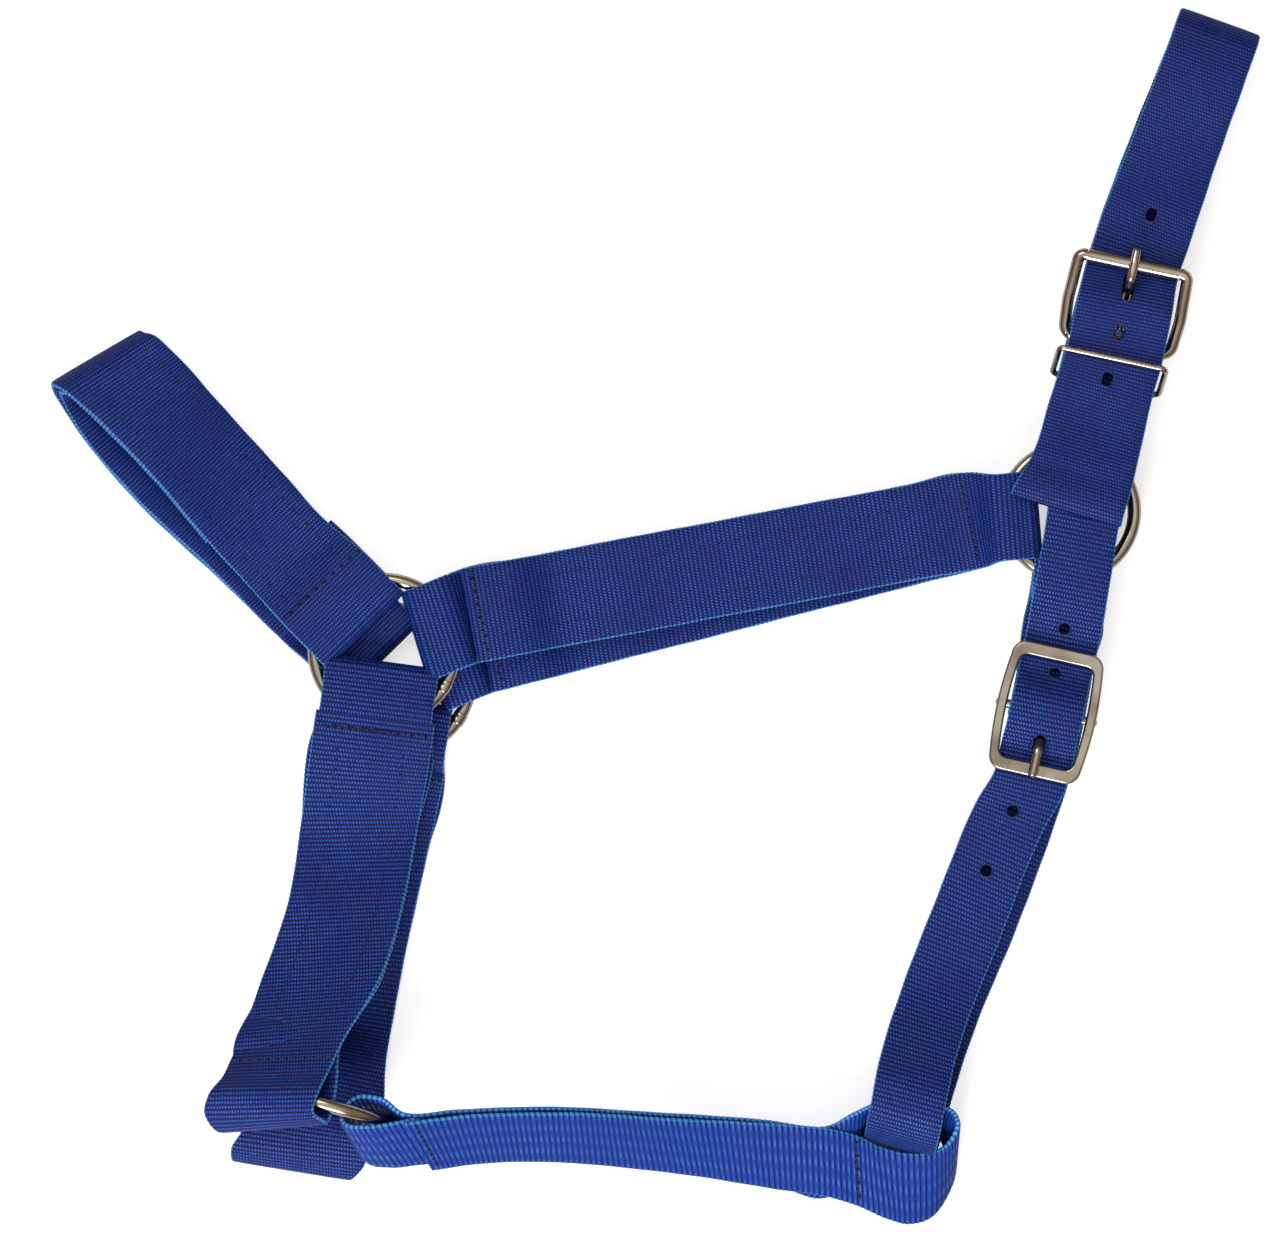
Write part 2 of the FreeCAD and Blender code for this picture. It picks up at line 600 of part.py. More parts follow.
def tongue(bar, wire, along, across, rows, radii):
    """A tongue: a rolled eye on its bar and a round finger through the given rows of reach and rise."""
    points = [bar + along * reach + UP * rise for reach, rise in rows]
    finger = pipe(points, radii, TONGUE_R)
    tip = Part.makeSphere(TONGUE_R, points[-1])
    width = 2 * TONGUE_R
    outer = Part.makeCylinder(wire + TONGUE_PLAY + 1.5, width, bar - across * (width / 2), across)
    body = finger.fuse(tip).fuse(outer)
    bore = Part.makeCylinder(wire + TONGUE_PLAY, width + 4.0, bar - across * (width / 2 + 2.0), across)
    return body.cut(bore)


def crown_buckle_tongue():
    rise = ROLLER_CENTRE.z + ROLLER_R + TONGUE_R + 0.25 - CROWN_HEEL.z
    rows = [(2.4, -1.0), (13.5, -1.0), (22.5, rise), (ROLLER_REACH + 1.0, rise), (ROLLER_REACH + 4.0, rise - 0.8)]
    return tongue(CROWN_HEEL, FRAME_WIRE, heading(BUCKLE_TURN), left_of(BUCKLE_TURN), rows, [3.0, 3.0, 4.0])


def throat_buckle_tongue():
    rise = THROAT_PLANE + THROAT_FRAME_THICK / 2 + TONGUE_R + 0.2 - THROAT_BAR.z
    reach = THROAT_FRAME_HALF_LENGTH
    rows = [(2.0, 0.0), (7.0, 0.0), (13.0, rise), (reach - 1.2, rise)]
    return tongue(THROAT_BAR, THROAT_BAR_R, heading(THROAT_RUN), left_of(THROAT_RUN), rows, [2.5, 2.5])


def crown_keeper():
    """Wire loop round the tail and the chape, leaning so that its top bar lies nearer the buckle."""
    across = left_of(BUCKLE_TURN)
    high = CROWN_OVER_HEEL + PLY / 2 + SOFT_GAP + KEEPER_WIRE
    low = NEAR_Z - PITCH - PLY / 2 - SOFT_GAP - KEEPER_WIRE
    top = crown_point(KEEPER_REACH + KEEPER_LEAN, high)
    bottom = crown_point(KEEPER_REACH - KEEPER_LEAN, low)
    half = CROWN_WEB / 2 + 3 * SOFT_GAP + KEEPER_WIRE
    ring = None
    for side in (1, -1):
        points = [top, top + across * (side * half), bottom + across * (side * half), bottom]
        piece = pipe(points, [2.0, 2.0], KEEPER_WIRE)
        ring = piece if ring is None else ring.fuse(piece)
    return ring.removeSplitter()


def throat_buckle_frame():
    """Cast frame: bowed rounded rectangle with eased edges, recessed centre bar on two lugs."""

    def outline(half_width, half_length, bow, corner):
        points = [
            Vector(half_width, -half_length + corner, 0),
            Vector(half_width, half_length - corner, 0),
            Vector(half_width - corner, half_length, 0),
            Vector(-half_width + corner, half_length, 0),
            Vector(-half_width, half_length - corner, 0),
            Vector(-half_width, -half_length + corner, 0),
            Vector(-half_width + corner, -half_length, 0),
            Vector(half_width - corner, -half_length, 0),
        ]
        diagonal = corner * (1 - math.sqrt(0.5))
        edges = [
            Part.Arc(points[0], Vector(half_width + bow, 0, 0), points[1]).toShape(),
            Part.Arc(points[1], Vector(half_width - diagonal, half_length - diagonal, 0), points[2]).toShape(),
            Part.LineSegment(points[2], points[3]).toShape(),
            Part.Arc(points[3], Vector(-half_width + diagonal, half_length - diagonal, 0), points[4]).toShape(),
            Part.Arc(points[4], Vector(-half_width - bow, 0, 0), points[5]).toShape(),
            Part.Arc(points[5], Vector(-half_width + diagonal, -half_length + diagonal, 0), points[6]).toShape(),
            Part.LineSegment(points[6], points[7]).toShape(),
            Part.Arc(points[7], Vector(half_width - diagonal, -half_length + diagonal, 0), points[0]).toShape(),
        ]
        return Part.Face(Part.Wire(edges))

    half_w = THROAT_FRAME_HALF_WIDTH - 0.8
    half_l = THROAT_FRAME_HALF_LENGTH
    bar = THROAT_FRAME_BAR
    hole = outline(half_w - bar + 0.8, half_l - bar - 0.8, 0.8, 3.0)
    plate = outline(half_w, half_l, 1.2, 5.0).cut(hole)
    frame = plate.extrude(UP * THROAT_FRAME_THICK)
    frame = frame.makeFillet(0.9, frame.Edges)
    frame.translate(UP * (-THROAT_FRAME_THICK / 2 + THROAT_PLANE - THROAT_BAR.z))
    span = half_w + 0.2
    centre_bar = Part.makeCylinder(THROAT_BAR_R, 2 * span, Vector(-span, 0, 0), Vector(1, 0, 0))
    frame = frame.fuse(centre_bar)
    for side in (1, -1):
        lug = Part.makeCylinder(THROAT_BAR_R, THROAT_PLANE - THROAT_BAR.z, Vector(side * span, 0, 0))
        knuckle = Part.makeSphere(THROAT_BAR_R, Vector(side * span, 0, 0))
        frame = frame.fuse(lug).fuse(knuckle)
    frame.rotate(Vector(0, 0, 0), UP, THROAT_RUN - 90)
    frame.translate(THROAT_BAR)
    return frame


def build():
    near_low = NEAR_Z - NOSE_WIRE - EYE_BEND
    return {
        "noseband": noseband(),
        "near_cheek_strap": cheek_strap(NOSE_NEAR_RING, TOP_NEAR_RING, near_low, 2.5),
        "far_cheek_strap": cheek_strap(NOSE_FAR_RING, TOP_FAR_RING, LOW_FAR, 0.0),
        "near_chin_strap": near_chin_strap(),
        "far_chin_strap": far_chin_strap(),
        "throat_connector_strap": connector_strap(),
        "throat_strap": throat_strap(),
        "throat_buckle_chape": throat_buckle_chape(),
        "crown_strap": crown_strap(),
        "crown_buckle_chape": crown_buckle_chape(),
        "near_nose_ring": NOSE_NEAR_RING.solid(),
        "far_nose_ring": NOSE_FAR_RING.solid(),
        "near_top_ring": TOP_NEAR_RING.solid(),
        "far_top_ring": TOP_FAR_RING.solid(),
        "chin_ring": CHIN_VERTICAL_RING.solid(),
        "crown_buckle_frame": crown_buckle_frame(),
        "crown_buckle_roller": crown_buckle_roller(),
        "crown_buckle_tongue": crown_buckle_tongue(),
        "crown_keeper": crown_keeper(),
        "throat_buckle_frame": throat_buckle_frame(),
        "throat_buckle_tongue": throat_buckle_tongue(),
    }


def export():
    """Writes every piece, with the origin under the middle of the whole halter."""
    os.makedirs("parts", exist_ok=True)
    pieces = build()
    box = FreeCAD.BoundBox()
    for shape in pieces.values():
        box.add(shape.BoundBox)
    shift = Vector(-box.Center.x, -box.Center.y, -box.ZMin)
    for name, shape in pieces.items():
        shape.translate(shift)
        print(name, shape.isValid(), len(shape.Solids), round(shape.Volume, 1))
        shape.exportStep("parts/" + name + ".step")
    print("shift", shift)


export()
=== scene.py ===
"""Looks of a webbing head halter: woven straps, stitching, punched holes and nickel hardware.

Lengths inside the classes are in millimetres; MM turns them into the frame's metres.
"""

import json
import logging
import math
from dataclasses import dataclass, field
from enum import Enum
from typing import Dict, List, Optional, Sequence, Tuple

import bpy
import numpy as np
from bpy.types import Material, Mesh, Node, NodeSocket, NodeTree, Object, Scene
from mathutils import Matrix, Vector

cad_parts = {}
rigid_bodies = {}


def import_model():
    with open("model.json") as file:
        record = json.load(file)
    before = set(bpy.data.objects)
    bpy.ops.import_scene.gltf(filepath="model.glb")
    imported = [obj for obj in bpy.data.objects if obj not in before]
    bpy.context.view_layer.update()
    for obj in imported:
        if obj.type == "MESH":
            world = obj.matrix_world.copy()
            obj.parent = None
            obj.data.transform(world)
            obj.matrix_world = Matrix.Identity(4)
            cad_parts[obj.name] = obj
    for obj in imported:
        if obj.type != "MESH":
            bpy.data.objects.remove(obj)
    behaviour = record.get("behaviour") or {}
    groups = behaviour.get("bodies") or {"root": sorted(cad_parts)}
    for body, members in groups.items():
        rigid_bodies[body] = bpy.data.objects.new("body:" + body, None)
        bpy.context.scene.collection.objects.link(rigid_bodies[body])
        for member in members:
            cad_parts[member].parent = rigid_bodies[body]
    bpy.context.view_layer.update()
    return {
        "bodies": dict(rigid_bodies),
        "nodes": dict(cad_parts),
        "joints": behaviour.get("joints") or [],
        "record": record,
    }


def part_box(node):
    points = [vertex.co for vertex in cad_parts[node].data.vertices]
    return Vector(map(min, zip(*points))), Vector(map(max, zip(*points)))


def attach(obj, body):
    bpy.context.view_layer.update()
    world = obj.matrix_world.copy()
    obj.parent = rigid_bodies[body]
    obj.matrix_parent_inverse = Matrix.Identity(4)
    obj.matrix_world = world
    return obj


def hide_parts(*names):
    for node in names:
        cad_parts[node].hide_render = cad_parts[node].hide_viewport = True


LOG = logging.getLogger("halter")
MM = 0.001
PLY = 2.2  # thickness of one layer of webbing in the frame
PITCH = 2.4  # height from one layer of a strap to the next
SOFT_GAP = 0.35  # free space between webbing and metal
FLOOR_GAP = 0.04  # lowest height of any soft piece
TURN_STEPS = 8  # sections in a half turn round a wire or a bar


class Body(Enum):
    """Bodies of the frame that the soft pieces ride on."""

    HALTER = "halter"
    CROWN = "crown"


class Slot(Enum):
    """Material slots of the record."""

    WEBBING = "blue_webbing"
    RIBBED = "ribbed_webbing"
    WIRE = "nickel_wire"


# ------------------------------------------------------------------ geometry helpers

def heading(angle: float) -> np.ndarray:
    """Returns the unit vector in the floor plane at an angle.

    Args:
        angle: Degrees from +X towards +Y.

    Returns:
        The direction as an array of three numbers.
    """
    return np.array([math.cos(math.radians(angle)), math.sin(math.radians(angle)), 0.0])


def left_of(angle: float) -> np.ndarray:
    """Returns the direction a quarter turn to the left of a heading.

    Args:
        angle: Heading in degrees.

    Returns:
        The unit vector to the left.
    """
    return heading(angle + 90)


def unit(vector: np.ndarray) -> np.ndarray:
    """Returns a vector scaled to length one.

    Args:
        vector: Any vector but zero.

    Returns:
        The unit vector.
    """
    return vector / np.linalg.norm(vector)


UP = np.array([0.0, 0.0, 1.0])


@dataclass(frozen=True)
class Section:
    """One cross-section of a strap: its middle, the direction across it and its width, in millimetres."""

    point: np.ndarray
    across: np.ndarray
    width: float

    def lifted(self, rise: float) -> "Section":
        """Returns the section moved up.

        Args:
            rise: Height in millimetres.

        Returns:
            The moved section.
        """
        return Section(self.point + UP * rise, self.across, self.width)

    def offset(self, along: np.ndarray, rise: float) -> "Section":
        """Returns the section moved square to the strap's face.

        Args:
            along: Direction in which the strap runs here.
            rise: Distance in millimetres.

        Returns:
            The moved section.
        """
        return Section(self.point + unit(np.cross(along, self.across)) * rise, self.across, self.width)


def at_height(point: np.ndarray, height: float) -> np.ndarray:
    """Returns a place moved to a height, straight up or down."""
    return point * [1, 1, 0] + UP * height


def half_turn(bend: float, start: float, sense: float) -> List[Tuple[float, float]]:
    """Returns the places of a half turn of webbing about a wire or a bar, seen from its side.

    Args:
        bend: Radius of the web's middle line.
        start: Angle of the first place in degrees.
        sense: 1 to turn one way, -1 to turn the other.

    Returns:
        The reach and the rise of each place.
    """
    angles = [math.radians(start + sense * 180 / TURN_STEPS * step) for step in range(TURN_STEPS + 1)]
    return [(bend * math.cos(angle), bend * math.sin(angle)) for angle in angles]


def mesh_object(
    name: str, places: Sequence[np.ndarray], faces: List[List[int]], *materials: Material, smooth: bool = True
) -> Object:
    """Makes an object in the scene.

    Args:
        name: Name of the object and its mesh.
        places: Vertices in millimetres.
        faces: Vertex numbers of each face.
        materials: Finishes.
        smooth: Whether the faces are shaded smooth.

    Returns:
        The object.
    """
    mesh = bpy.data.meshes.new(name)
    mesh.from_pydata((np.asarray(places) * MM).tolist(), [], faces)
    for material in materials:
        mesh.materials.append(material)
    if smooth:
        mesh.shade_smooth()
    obj = bpy.data.objects.new(name, mesh)
    bpy.context.collection.objects.link(obj)
    return obj


def tube_faces(base: int, rings: int, sides: int, closed: bool = False) -> List[List[int]]:
    """Returns the quads of a tube whose vertices lie ring by ring.

    Args:
        base: Number of the first vertex.
        rings: How many rings there are.
        sides: Vertices in each ring.
        closed: Whether the last ring joins the first.

    Returns:
        The faces.
    """
    faces = []
    for ring in range(rings if closed else rings - 1):
        low, high = base + ring * sides, base + (ring + 1) % rings * sides
        for side in range(sides):
            after = (side + 1) % sides
            faces.append([low + side, low + after, high + after, high + side])
    return faces


@dataclass(frozen=True)
class RingFit:
    """A ring as a strap sees it: centre, centre-line radius and wire radius in millimetres."""

    centre: np.ndarray
    radius: float
    wire: float

    @classmethod
    def of(cls, node: str) -> "RingFit":
        """Reads a ring's size from its node in the frame.

        Args:
            node: Name of the ring's node.

        Returns:
            The ring's fit.
        """
        low, high = (np.array(corner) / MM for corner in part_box(node))
        size = high - low
        wire = min(size) / 2
        outer = max(size) / 2
        if node == "chin_ring":
            wire = 2.2
        return cls((low + high) / 2, outer - wire, wire)

    def inner_edge(self, width: float) -> float:
        """Returns how far from the centre the wire lies at the ends of an eye.

        Args:
            width: Width of the eye.

        Returns:
            The distance in millimetres.
        """
        return math.sqrt((self.radius - self.wire) ** 2 - (width / 2) ** 2)

    def eye(self, outward: float, width: float, across: np.ndarray, pull: float = 0.0) -> List[Section]:
        """Returns the sections of a web round the wire of a ring that lies flat, upper side first.

        Args:
            outward: Heading in which the strap leaves the ring.
            width: Width of the gathered web.
            across: Direction across the web.
            pull: How much further the eye's end reaches towards the ring's middle.

        Returns:
            The sections.
        """
        bend = self.wire + SOFT_GAP + PLY / 2
        turn = self.inner_edge(width) - 0.5 + self.wire + SOFT_GAP - pull
        out = self.radius + self.wire + 1.0
        rows = [(out, bend)] + [(turn + reach, rise) for reach, rise in half_turn(bend, 90, 1)] + [(out, -bend)]
        away = heading(outward)
        return [Section(self.centre + away * reach + UP * rise, across, width) for reach, rise in rows]


# ------------------------------------------------------------------ woven strips

@dataclass
class Strip:
    """A length of webbing that follows its sections, with rounded beaded edges and a weave layout.

    The layout UV map holds the distance along and across the web in metres.
    """

    name: str
    sections: List[Section]
    row_pitch: float = 1.56
    thickness: float = 2.0
    bead: float = 0.22
    points: np.ndarray = field(init=False)
    across: np.ndarray = field(init=False)
    normals: np.ndarray = field(init=False)
    widths: np.ndarray = field(init=False)
    step: float = field(init=False)

    FACES_ACROSS = 12
    EDGE_STEPS = 4
    STEPS_PER_ROW = 4
    FINE_STEP = 0.15
    EDGE_ROUND = 0.75
    EDGE_THINNING = 0.10
    RIPPLE = 0.06
    WANDERS = ((0.10, 0.11), (0.05, 0.37))

    def __post_init__(self) -> None:
        """Works out the fine centre line."""
        self.step = self.row_pitch / self.STEPS_PER_ROW
        self._resample()

    def _resample(self) -> None:
        """Fits a smooth curve through the sections and spaces it evenly."""
        knots = np.array([[section.point, section.across * section.width / 2] for section in self.sections])
        gaps = np.linalg.norm(np.diff(knots[:, 0], axis=0), axis=1)
        place = np.concatenate([[0.0], np.cumsum(gaps)])
        gaps = gaps[:, None, None]
        slopes = np.diff(knots, axis=0) / gaps
        tangents = np.empty_like(knots)
        tangents[0], tangents[-1] = slopes[0], slopes[-1]
        weight = gaps[1:] / (gaps[:-1] + gaps[1:])
        tangents[1:-1] = slopes[:-1] * weight + slopes[1:] * (1 - weight)
        fine = np.arange(0.0, place[-1], self.FINE_STEP)
        index = np.clip(np.searchsorted(place, fine, side="right") - 1, 0, len(gaps) - 1)
        length = gaps[index]
        share = (fine - place[index])[:, None, None] / length
        curve = (
            knots[index] * (1 + 2 * share) * (1 - share) ** 2
            + tangents[index] * length * share * (1 - share) ** 2
            + knots[index + 1] * share ** 2 * (3 - 2 * share)
            - tangents[index + 1] * length * share ** 2 * (1 - share)
        ).reshape(-1, 6)
        run = np.concatenate([[0.0], np.cumsum(np.linalg.norm(np.diff(curve[:, :3], axis=0), axis=1))])
        even = np.arange(0.0, run[-1], self.step)
        path = np.stack([np.interp(even, run, curve[:, axis]) for axis in range(6)], axis=1)
        self.points, half = path[:, :3], path[:, 3:]
        reach = np.linalg.norm(half, axis=1)
        self.widths = 2 * reach
        self.across = half / reach[:, None]
        normals = np.cross(np.gradient(self.points, axis=0), self.across)
        self.normals = normals / np.linalg.norm(normals, axis=1)[:, None]

    @property
    def length(self) -> float:
        """Returns the length of the strip in millimetres."""
        return self.step * (len(self.points) - 1)

    def distance_at(self, point: Sequence[float], start: float = 0.0, end: Optional[float] = None) -> float:
        """Returns how far along the strip a place lies.

        Args:
            point: Place to look for, in millimetres.
            start: Shortest distance to consider.
            end: Longest distance to consider.

        Returns:
            The distance along the strip in millimetres.
        """
        low = int(start / self.step)
        high = len(self.points) if end is None else int(end / self.step)
        gaps = np.linalg.norm(self.points[low:high, :2] - np.array(point[:2]), axis=1)
        return (low + int(np.argmin(gaps))) * self.step

    def surface(self, distance: float, lateral: float, side: float = 1.0) -> Tuple[np.ndarray, np.ndarray]:
        """Returns a place on a face of the strip and the face's normal.

        Args:
            distance: Distance along the strip.
            lateral: Distance from the middle line, positive towards the left edge.
            side: 1 for the outer face, -1 for the inner face.

        Returns:
            The place and the outward normal.
        """
        where = min(max(distance / self.step, 0.0), len(self.points) - 1.001)
        index = int(where)
        share = where - index
        point = self.points[index] * (1 - share) + self.points[index + 1] * share
        normal = self.normals[index] * side
        return point + self.across[index] * lateral + normal * (self.thickness / 2), normal

    def _outline(self) -> Tuple[np.ndarray, np.ndarray, np.ndarray]:
        """Works out the outline of the cross-section.

        Returns:
            The lateral share, the height share and how much each point belongs to an edge.
        """
        top = np.linspace(1.0, -1.0, self.FACES_ACROSS + 1)
        down = np.linspace(0, math.pi, self.EDGE_STEPS + 2)[1:-1]
        up = np.linspace(math.pi, 0, self.EDGE_STEPS + 2)[1:-1]
        lateral, height, rim = [], [], []
        for face, turns, side in ((top, down, -1.0), (top[::-1], up, 1.0)):
            lateral += list(face) + [side] * len(turns)
            height += [-side] * len(face) + [math.cos(turn) for turn in turns]
            rim += [0.0] * len(face) + [math.sin(turn) for turn in turns]
        return np.array(lateral), np.array(height), np.array(rim)

    def build(self, material: Material, body: Body, slot: Slot, *nodes: str) -> Object:
        """Makes the strip's mesh.

        Args:
            material: Finish of the web.
            body: Body that it rides on.
            slot: Material slot of the record; not used.
            nodes: CAD nodes that it stands for.

        Returns:
            The new object.
        """
        lateral, height, rim = self._outline()
        count, around = len(self.points), len(lateral)
        distance = np.arange(count) * self.step
        half = self.widths / 2
        phase = 2 * math.pi * distance / self.row_pitch
        bead = self.bead * (0.5 + 0.5 * np.cos(phase))
        (slow, slow_rate), (quick, quick_rate) = self.WANDERS
        wander = slow * np.sin(distance * slow_rate + len(self.name)) + quick * np.sin(distance * quick_rate)
        edge_round = self.EDGE_ROUND * self.thickness / 2
        out = (half[:, None] - edge_round + wander[:, None]) * lateral[None, :]
        out += np.sign(lateral)[None, :] * rim[None, :] * (edge_round + bead[:, None])
        belly = 1.0 - self.EDGE_THINNING * np.abs(lateral) ** 6
        lift = self.thickness / 2 * height * belly
        ripple = self.RIPPLE * np.cos(phase)[:, None] * height[None, :] * (1 - rim[None, :])
        rise = lift[None, :] + ripple
        verts = (
            self.points[:, None, :]
            + self.across[:, None, :] * out[:, :, None]
            + self.normals[:, None, :] * rise[:, :, None]
        ).reshape(-1, 3)
        verts[:, 2] = np.maximum(verts[:, 2], FLOOR_GAP)
        faces = [
            [low, high, high_after, low_after]
            for low, low_after, high_after, high in tube_faces(0, count, around)
        ]
        faces.append(list(range(around)))
        faces.append([(count - 1) * around + value for value in reversed(range(around))])
        obj = mesh_object(self.name, verts, faces, material)
        self._lay_out(obj.data, distance, out, rim, around)
        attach(obj, body.value)
        if nodes:
            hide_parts(*nodes)
        LOG.info("strap %s: %.0f mm long, %d points", self.name, self.length, count)
        return obj

    def _lay_out(
        self, mesh: Mesh, distance: np.ndarray, out: np.ndarray, rim: np.ndarray, around: int
    ) -> None:
        """Writes the layout UV map, along and across in metres, and the edge mask where the webbing finishes
        paint an edge highlight.

        Args:
            mesh: Mesh of the strip.
            distance: Distance of each section.
            out: Lateral place of each vertex.
            rim: Share of each outline point that belongs to an edge.
            around: Points in each section.
        """
        layout = mesh.uv_layers.new(name="layout")
        loops = np.empty(len(mesh.loops), dtype=np.int64)
        mesh.loops.foreach_get("vertex_index", loops)
        along = np.repeat(distance, around) * MM
        side = out.reshape(-1) * MM
        pairs = np.stack([along[loops], side[loops]], axis=1)
        layout.data.foreach_set("uv", pairs.reshape(-1).astype(np.float32))
        # Edge mask that the webbing finishes use to paint a highlight along the edges.
        edge = mesh.attributes.new("selvedge_highlight", "FLOAT", "POINT")
        edge.data.foreach_set("value", np.tile(rim, len(distance)).astype(np.float32))


# ------------------------------------------------------------------ stitching

@dataclass(frozen=True)
class Seam:
    """A row of stitches on a strip, from one layout place to another."""

    start: Tuple[float, float]
    end: Tuple[float, float]
    pitch: float = 2.7
    thread: float = 0.32
    zigzag: float = 0.0
    side: float = 1.0
    proud: float = 0.05


@dataclass
class Stitching:
    """Thread that sews the layers of one strap, as short sunk loops between needle holes painted dark as shade.
    """

    name: str
    strip: Strip
    seams: List[Seam]
    sides: int = 6

    STITCH_SHARE = 0.82
    LOOP_STEPS = 6
    LOOK_AHEAD = 0.05
    SINK = 1.1
    PIT_SIDES = 8
    PIT_SIZE = 1.45
    PIT_RISES = (0.10, 0.04)

    def build(self, thread: Material, hole_shade: Material, body: Body) -> Object:
        """Makes the thread and needle holes as one mesh.

        Args:
            thread: Finish of the thread.
            hole_shade: Finish of the needle holes, their painted shade.
            body: Body that it rides on.

        Returns:
            The new object.
        """
        verts: List[np.ndarray] = []
        faces: List[List[int]] = []
        kinds: List[int] = []
        for seam in self.seams:
            span = math.dist(seam.start, seam.end)
            count = max(2, int(round(span / seam.pitch)))
            for index in range(count):
                first, last = self._ends(seam, index / count, (index + self.STITCH_SHARE) / count, index)
                self._loop(verts, faces, kinds, seam, first, last)
                self._pit(verts, faces, kinds, seam, first)
        obj = mesh_object(self.name, verts, faces, thread, hole_shade)
        obj.data.polygons.foreach_set("material_index", kinds)
        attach(obj, body.value)
        LOG.info("stitching %s: %d seams", self.name, len(self.seams))
        return obj

    def _ends(self, seam: Seam, first: float, last: float, index: int) -> Tuple[Tuple, Tuple]:
        """Works out the two ends of a stitch.

        Args:
            seam: Row that the stitch belongs to.
            first: Share of the row at which it starts.
            last: Share at which it ends.
            index: Number of the stitch.

        Returns:
            The layout places of its ends.
        """
        swing = seam.zigzag * (1 if index % 2 else -1)
        run = np.array(seam.end) - np.array(seam.start)
        square = unit(np.array([-run[1], run[0]]))
        begin = np.array(seam.start) + run * first - square * swing
        finish = np.array(seam.start) + run * last + square * swing
        return tuple(begin), tuple(finish)

    def _loop(self, verts: List, faces: List, kinds: List, seam: Seam, first: Tuple, last: Tuple) -> None:
        """Adds one stitch, a thread that dips into the web at both ends.

        Args:
            verts: Vertices so far.
            faces: Faces so far.
            kinds: Material number of each face.
            seam: Row that the stitch belongs to.
            first: Layout place of its start.
            last: Layout place of its end.
        """
        base = len(verts)
        run = (last[0] - first[0], last[1] - first[1])
        for ring in range(self.LOOP_STEPS + 1):
            share = ring / self.LOOP_STEPS
            distance, lateral = first[0] + run[0] * share, first[1] + run[1] * share
            place, normal = self.strip.surface(distance, lateral, seam.side)
            ahead, _ = self.strip.surface(
                distance + run[0] * self.LOOK_AHEAD, lateral + run[1] * self.LOOK_AHEAD, seam.side
            )
            moved = np.linalg.norm(ahead - place) > 1e-6
            along = unit(ahead - place) if moved else unit(np.cross(normal, UP + 0.1))
            side = np.cross(normal, along)
            arch = math.sin(math.pi * share) ** 0.6
            middle = place + normal * (seam.proud - seam.thread * self.SINK * (1 - arch))
            for turn in range(self.sides):
                angle = 2 * math.pi * turn / self.sides
                verts.append(middle + (side * math.cos(angle) + normal * math.sin(angle)) * seam.thread)
        quads = tube_faces(base, self.LOOP_STEPS + 1, self.sides)
        faces += quads
        kinds += [0] * len(quads)

    def _pit(self, verts: List, faces: List, kinds: List, seam: Seam, place: Tuple) -> None:
        """Adds a needle hole, a shallow dish painted dark as the shade inside it.

        Args:
            verts: Vertices so far.
            faces: Faces so far.
            kinds: Material number of each face.
            seam: Row that the hole belongs to.
            place: Layout place of the hole.
        """
        centre, normal = self.strip.surface(place[0], place[1], seam.side)
        ahead, _ = self.strip.surface(place[0] + 0.5, place[1], seam.side)
        along = unit(ahead - centre)
        side = np.cross(normal, along)
        base, sides = len(verts), self.PIT_SIDES
        radius = seam.thread * self.PIT_SIZE
        border, middle = self.PIT_RISES
        for turn in range(sides):
            angle = 2 * math.pi * turn / sides
            verts.append(centre + (along * math.cos(angle) + side * math.sin(angle)) * radius + normal * border)
        verts.append(centre + normal * middle)
        for turn in range(sides):
            faces.append([base + turn, base + (turn + 1) % sides, base + sides])
            kinds.append(1)


# ------------------------------------------------------------------ finishes

class Graph:
    """Short way to add and join the nodes of one tree."""

    def __init__(self, tree: NodeTree) -> None:
        """Keeps the tree.

        Args:
            tree: Tree that new nodes go into.
        """
        self.tree = tree

    def add(self, kind: str, **values: object) -> Node:
        """Adds a node and sets its properties.

        Args:
            kind: Type name of the node.
            values: Properties of the node by name.

        Returns:
            The node.
        """
        node = self.tree.nodes.new(kind)
        for name, value in values.items():
            setattr(node, name, value)
        return node

    def feed(self, socket: NodeSocket, value: object) -> None:
        """Links a socket to another socket, or sets it to a plain value.

        Args:
            socket: Input to fill.
            value: Socket or plain value.
        """
        if isinstance(value, NodeSocket):
            self.tree.links.new(value, socket)
        else:
            socket.default_value = value

    def math(self, operation: str, first: object, second: object = 0.0, third: object = 0.0) -> NodeSocket:
        """Adds a math node.

        Args:
            operation: Name of the operation.
            first: First value or socket.
            second: Second value or socket.
            third: Third value or socket.

        Returns:
            The result's socket.
        """
        node = self.add("ShaderNodeMath", operation=operation)
        for socket, value in zip(node.inputs, (first, second, third)):
            self.feed(socket, value)
        return node.outputs[0]

    def mix(self, factor: object, first: object, second: object) -> NodeSocket:
        """Adds a colour mix.

        Args:
            factor: Share of the second colour.
            first: First colour or socket.
            second: Second colour or socket.

        Returns:
            The result's socket.
        """
        node = self.add("ShaderNodeMix", data_type="RGBA")
        self.feed(node.inputs[0], factor)
        self.feed(node.inputs[6], first)
        self.feed(node.inputs[7], second)
        return node.outputs[2]

    def span(
        self, value: object, low: float, high: float, to_low: float = 0.0, to_high: float = 1.0
    ) -> NodeSocket:
        """Adds a clamped remap of a value.

        Args:
            value: Value or socket.
            low: Value that becomes to_low.
            high: Value that becomes to_high.
            to_low: First end of the result.
            to_high: Second end of the result.

        Returns:
            The result's socket.
        """
        node = self.add("ShaderNodeMapRange")
        for index, entry in enumerate((value, low, high, to_low, to_high)):
            self.feed(node.inputs[index], entry)
        return node.outputs[0]

    def noise(self, place: object, scale: float, detail: float = 2.0) -> NodeSocket:
        """Adds a noise texture.

        Args:
            place: Socket with the place to read it at.
            scale: Scale of the noise.
            detail: Octaves.

        Returns:
            The noise value's socket.
        """
        node = self.add("ShaderNodeTexNoise")
        self.feed(node.inputs["Vector"], place)
        node.inputs["Scale"].default_value = scale
        node.inputs["Detail"].default_value = detail
        return node.outputs[0]


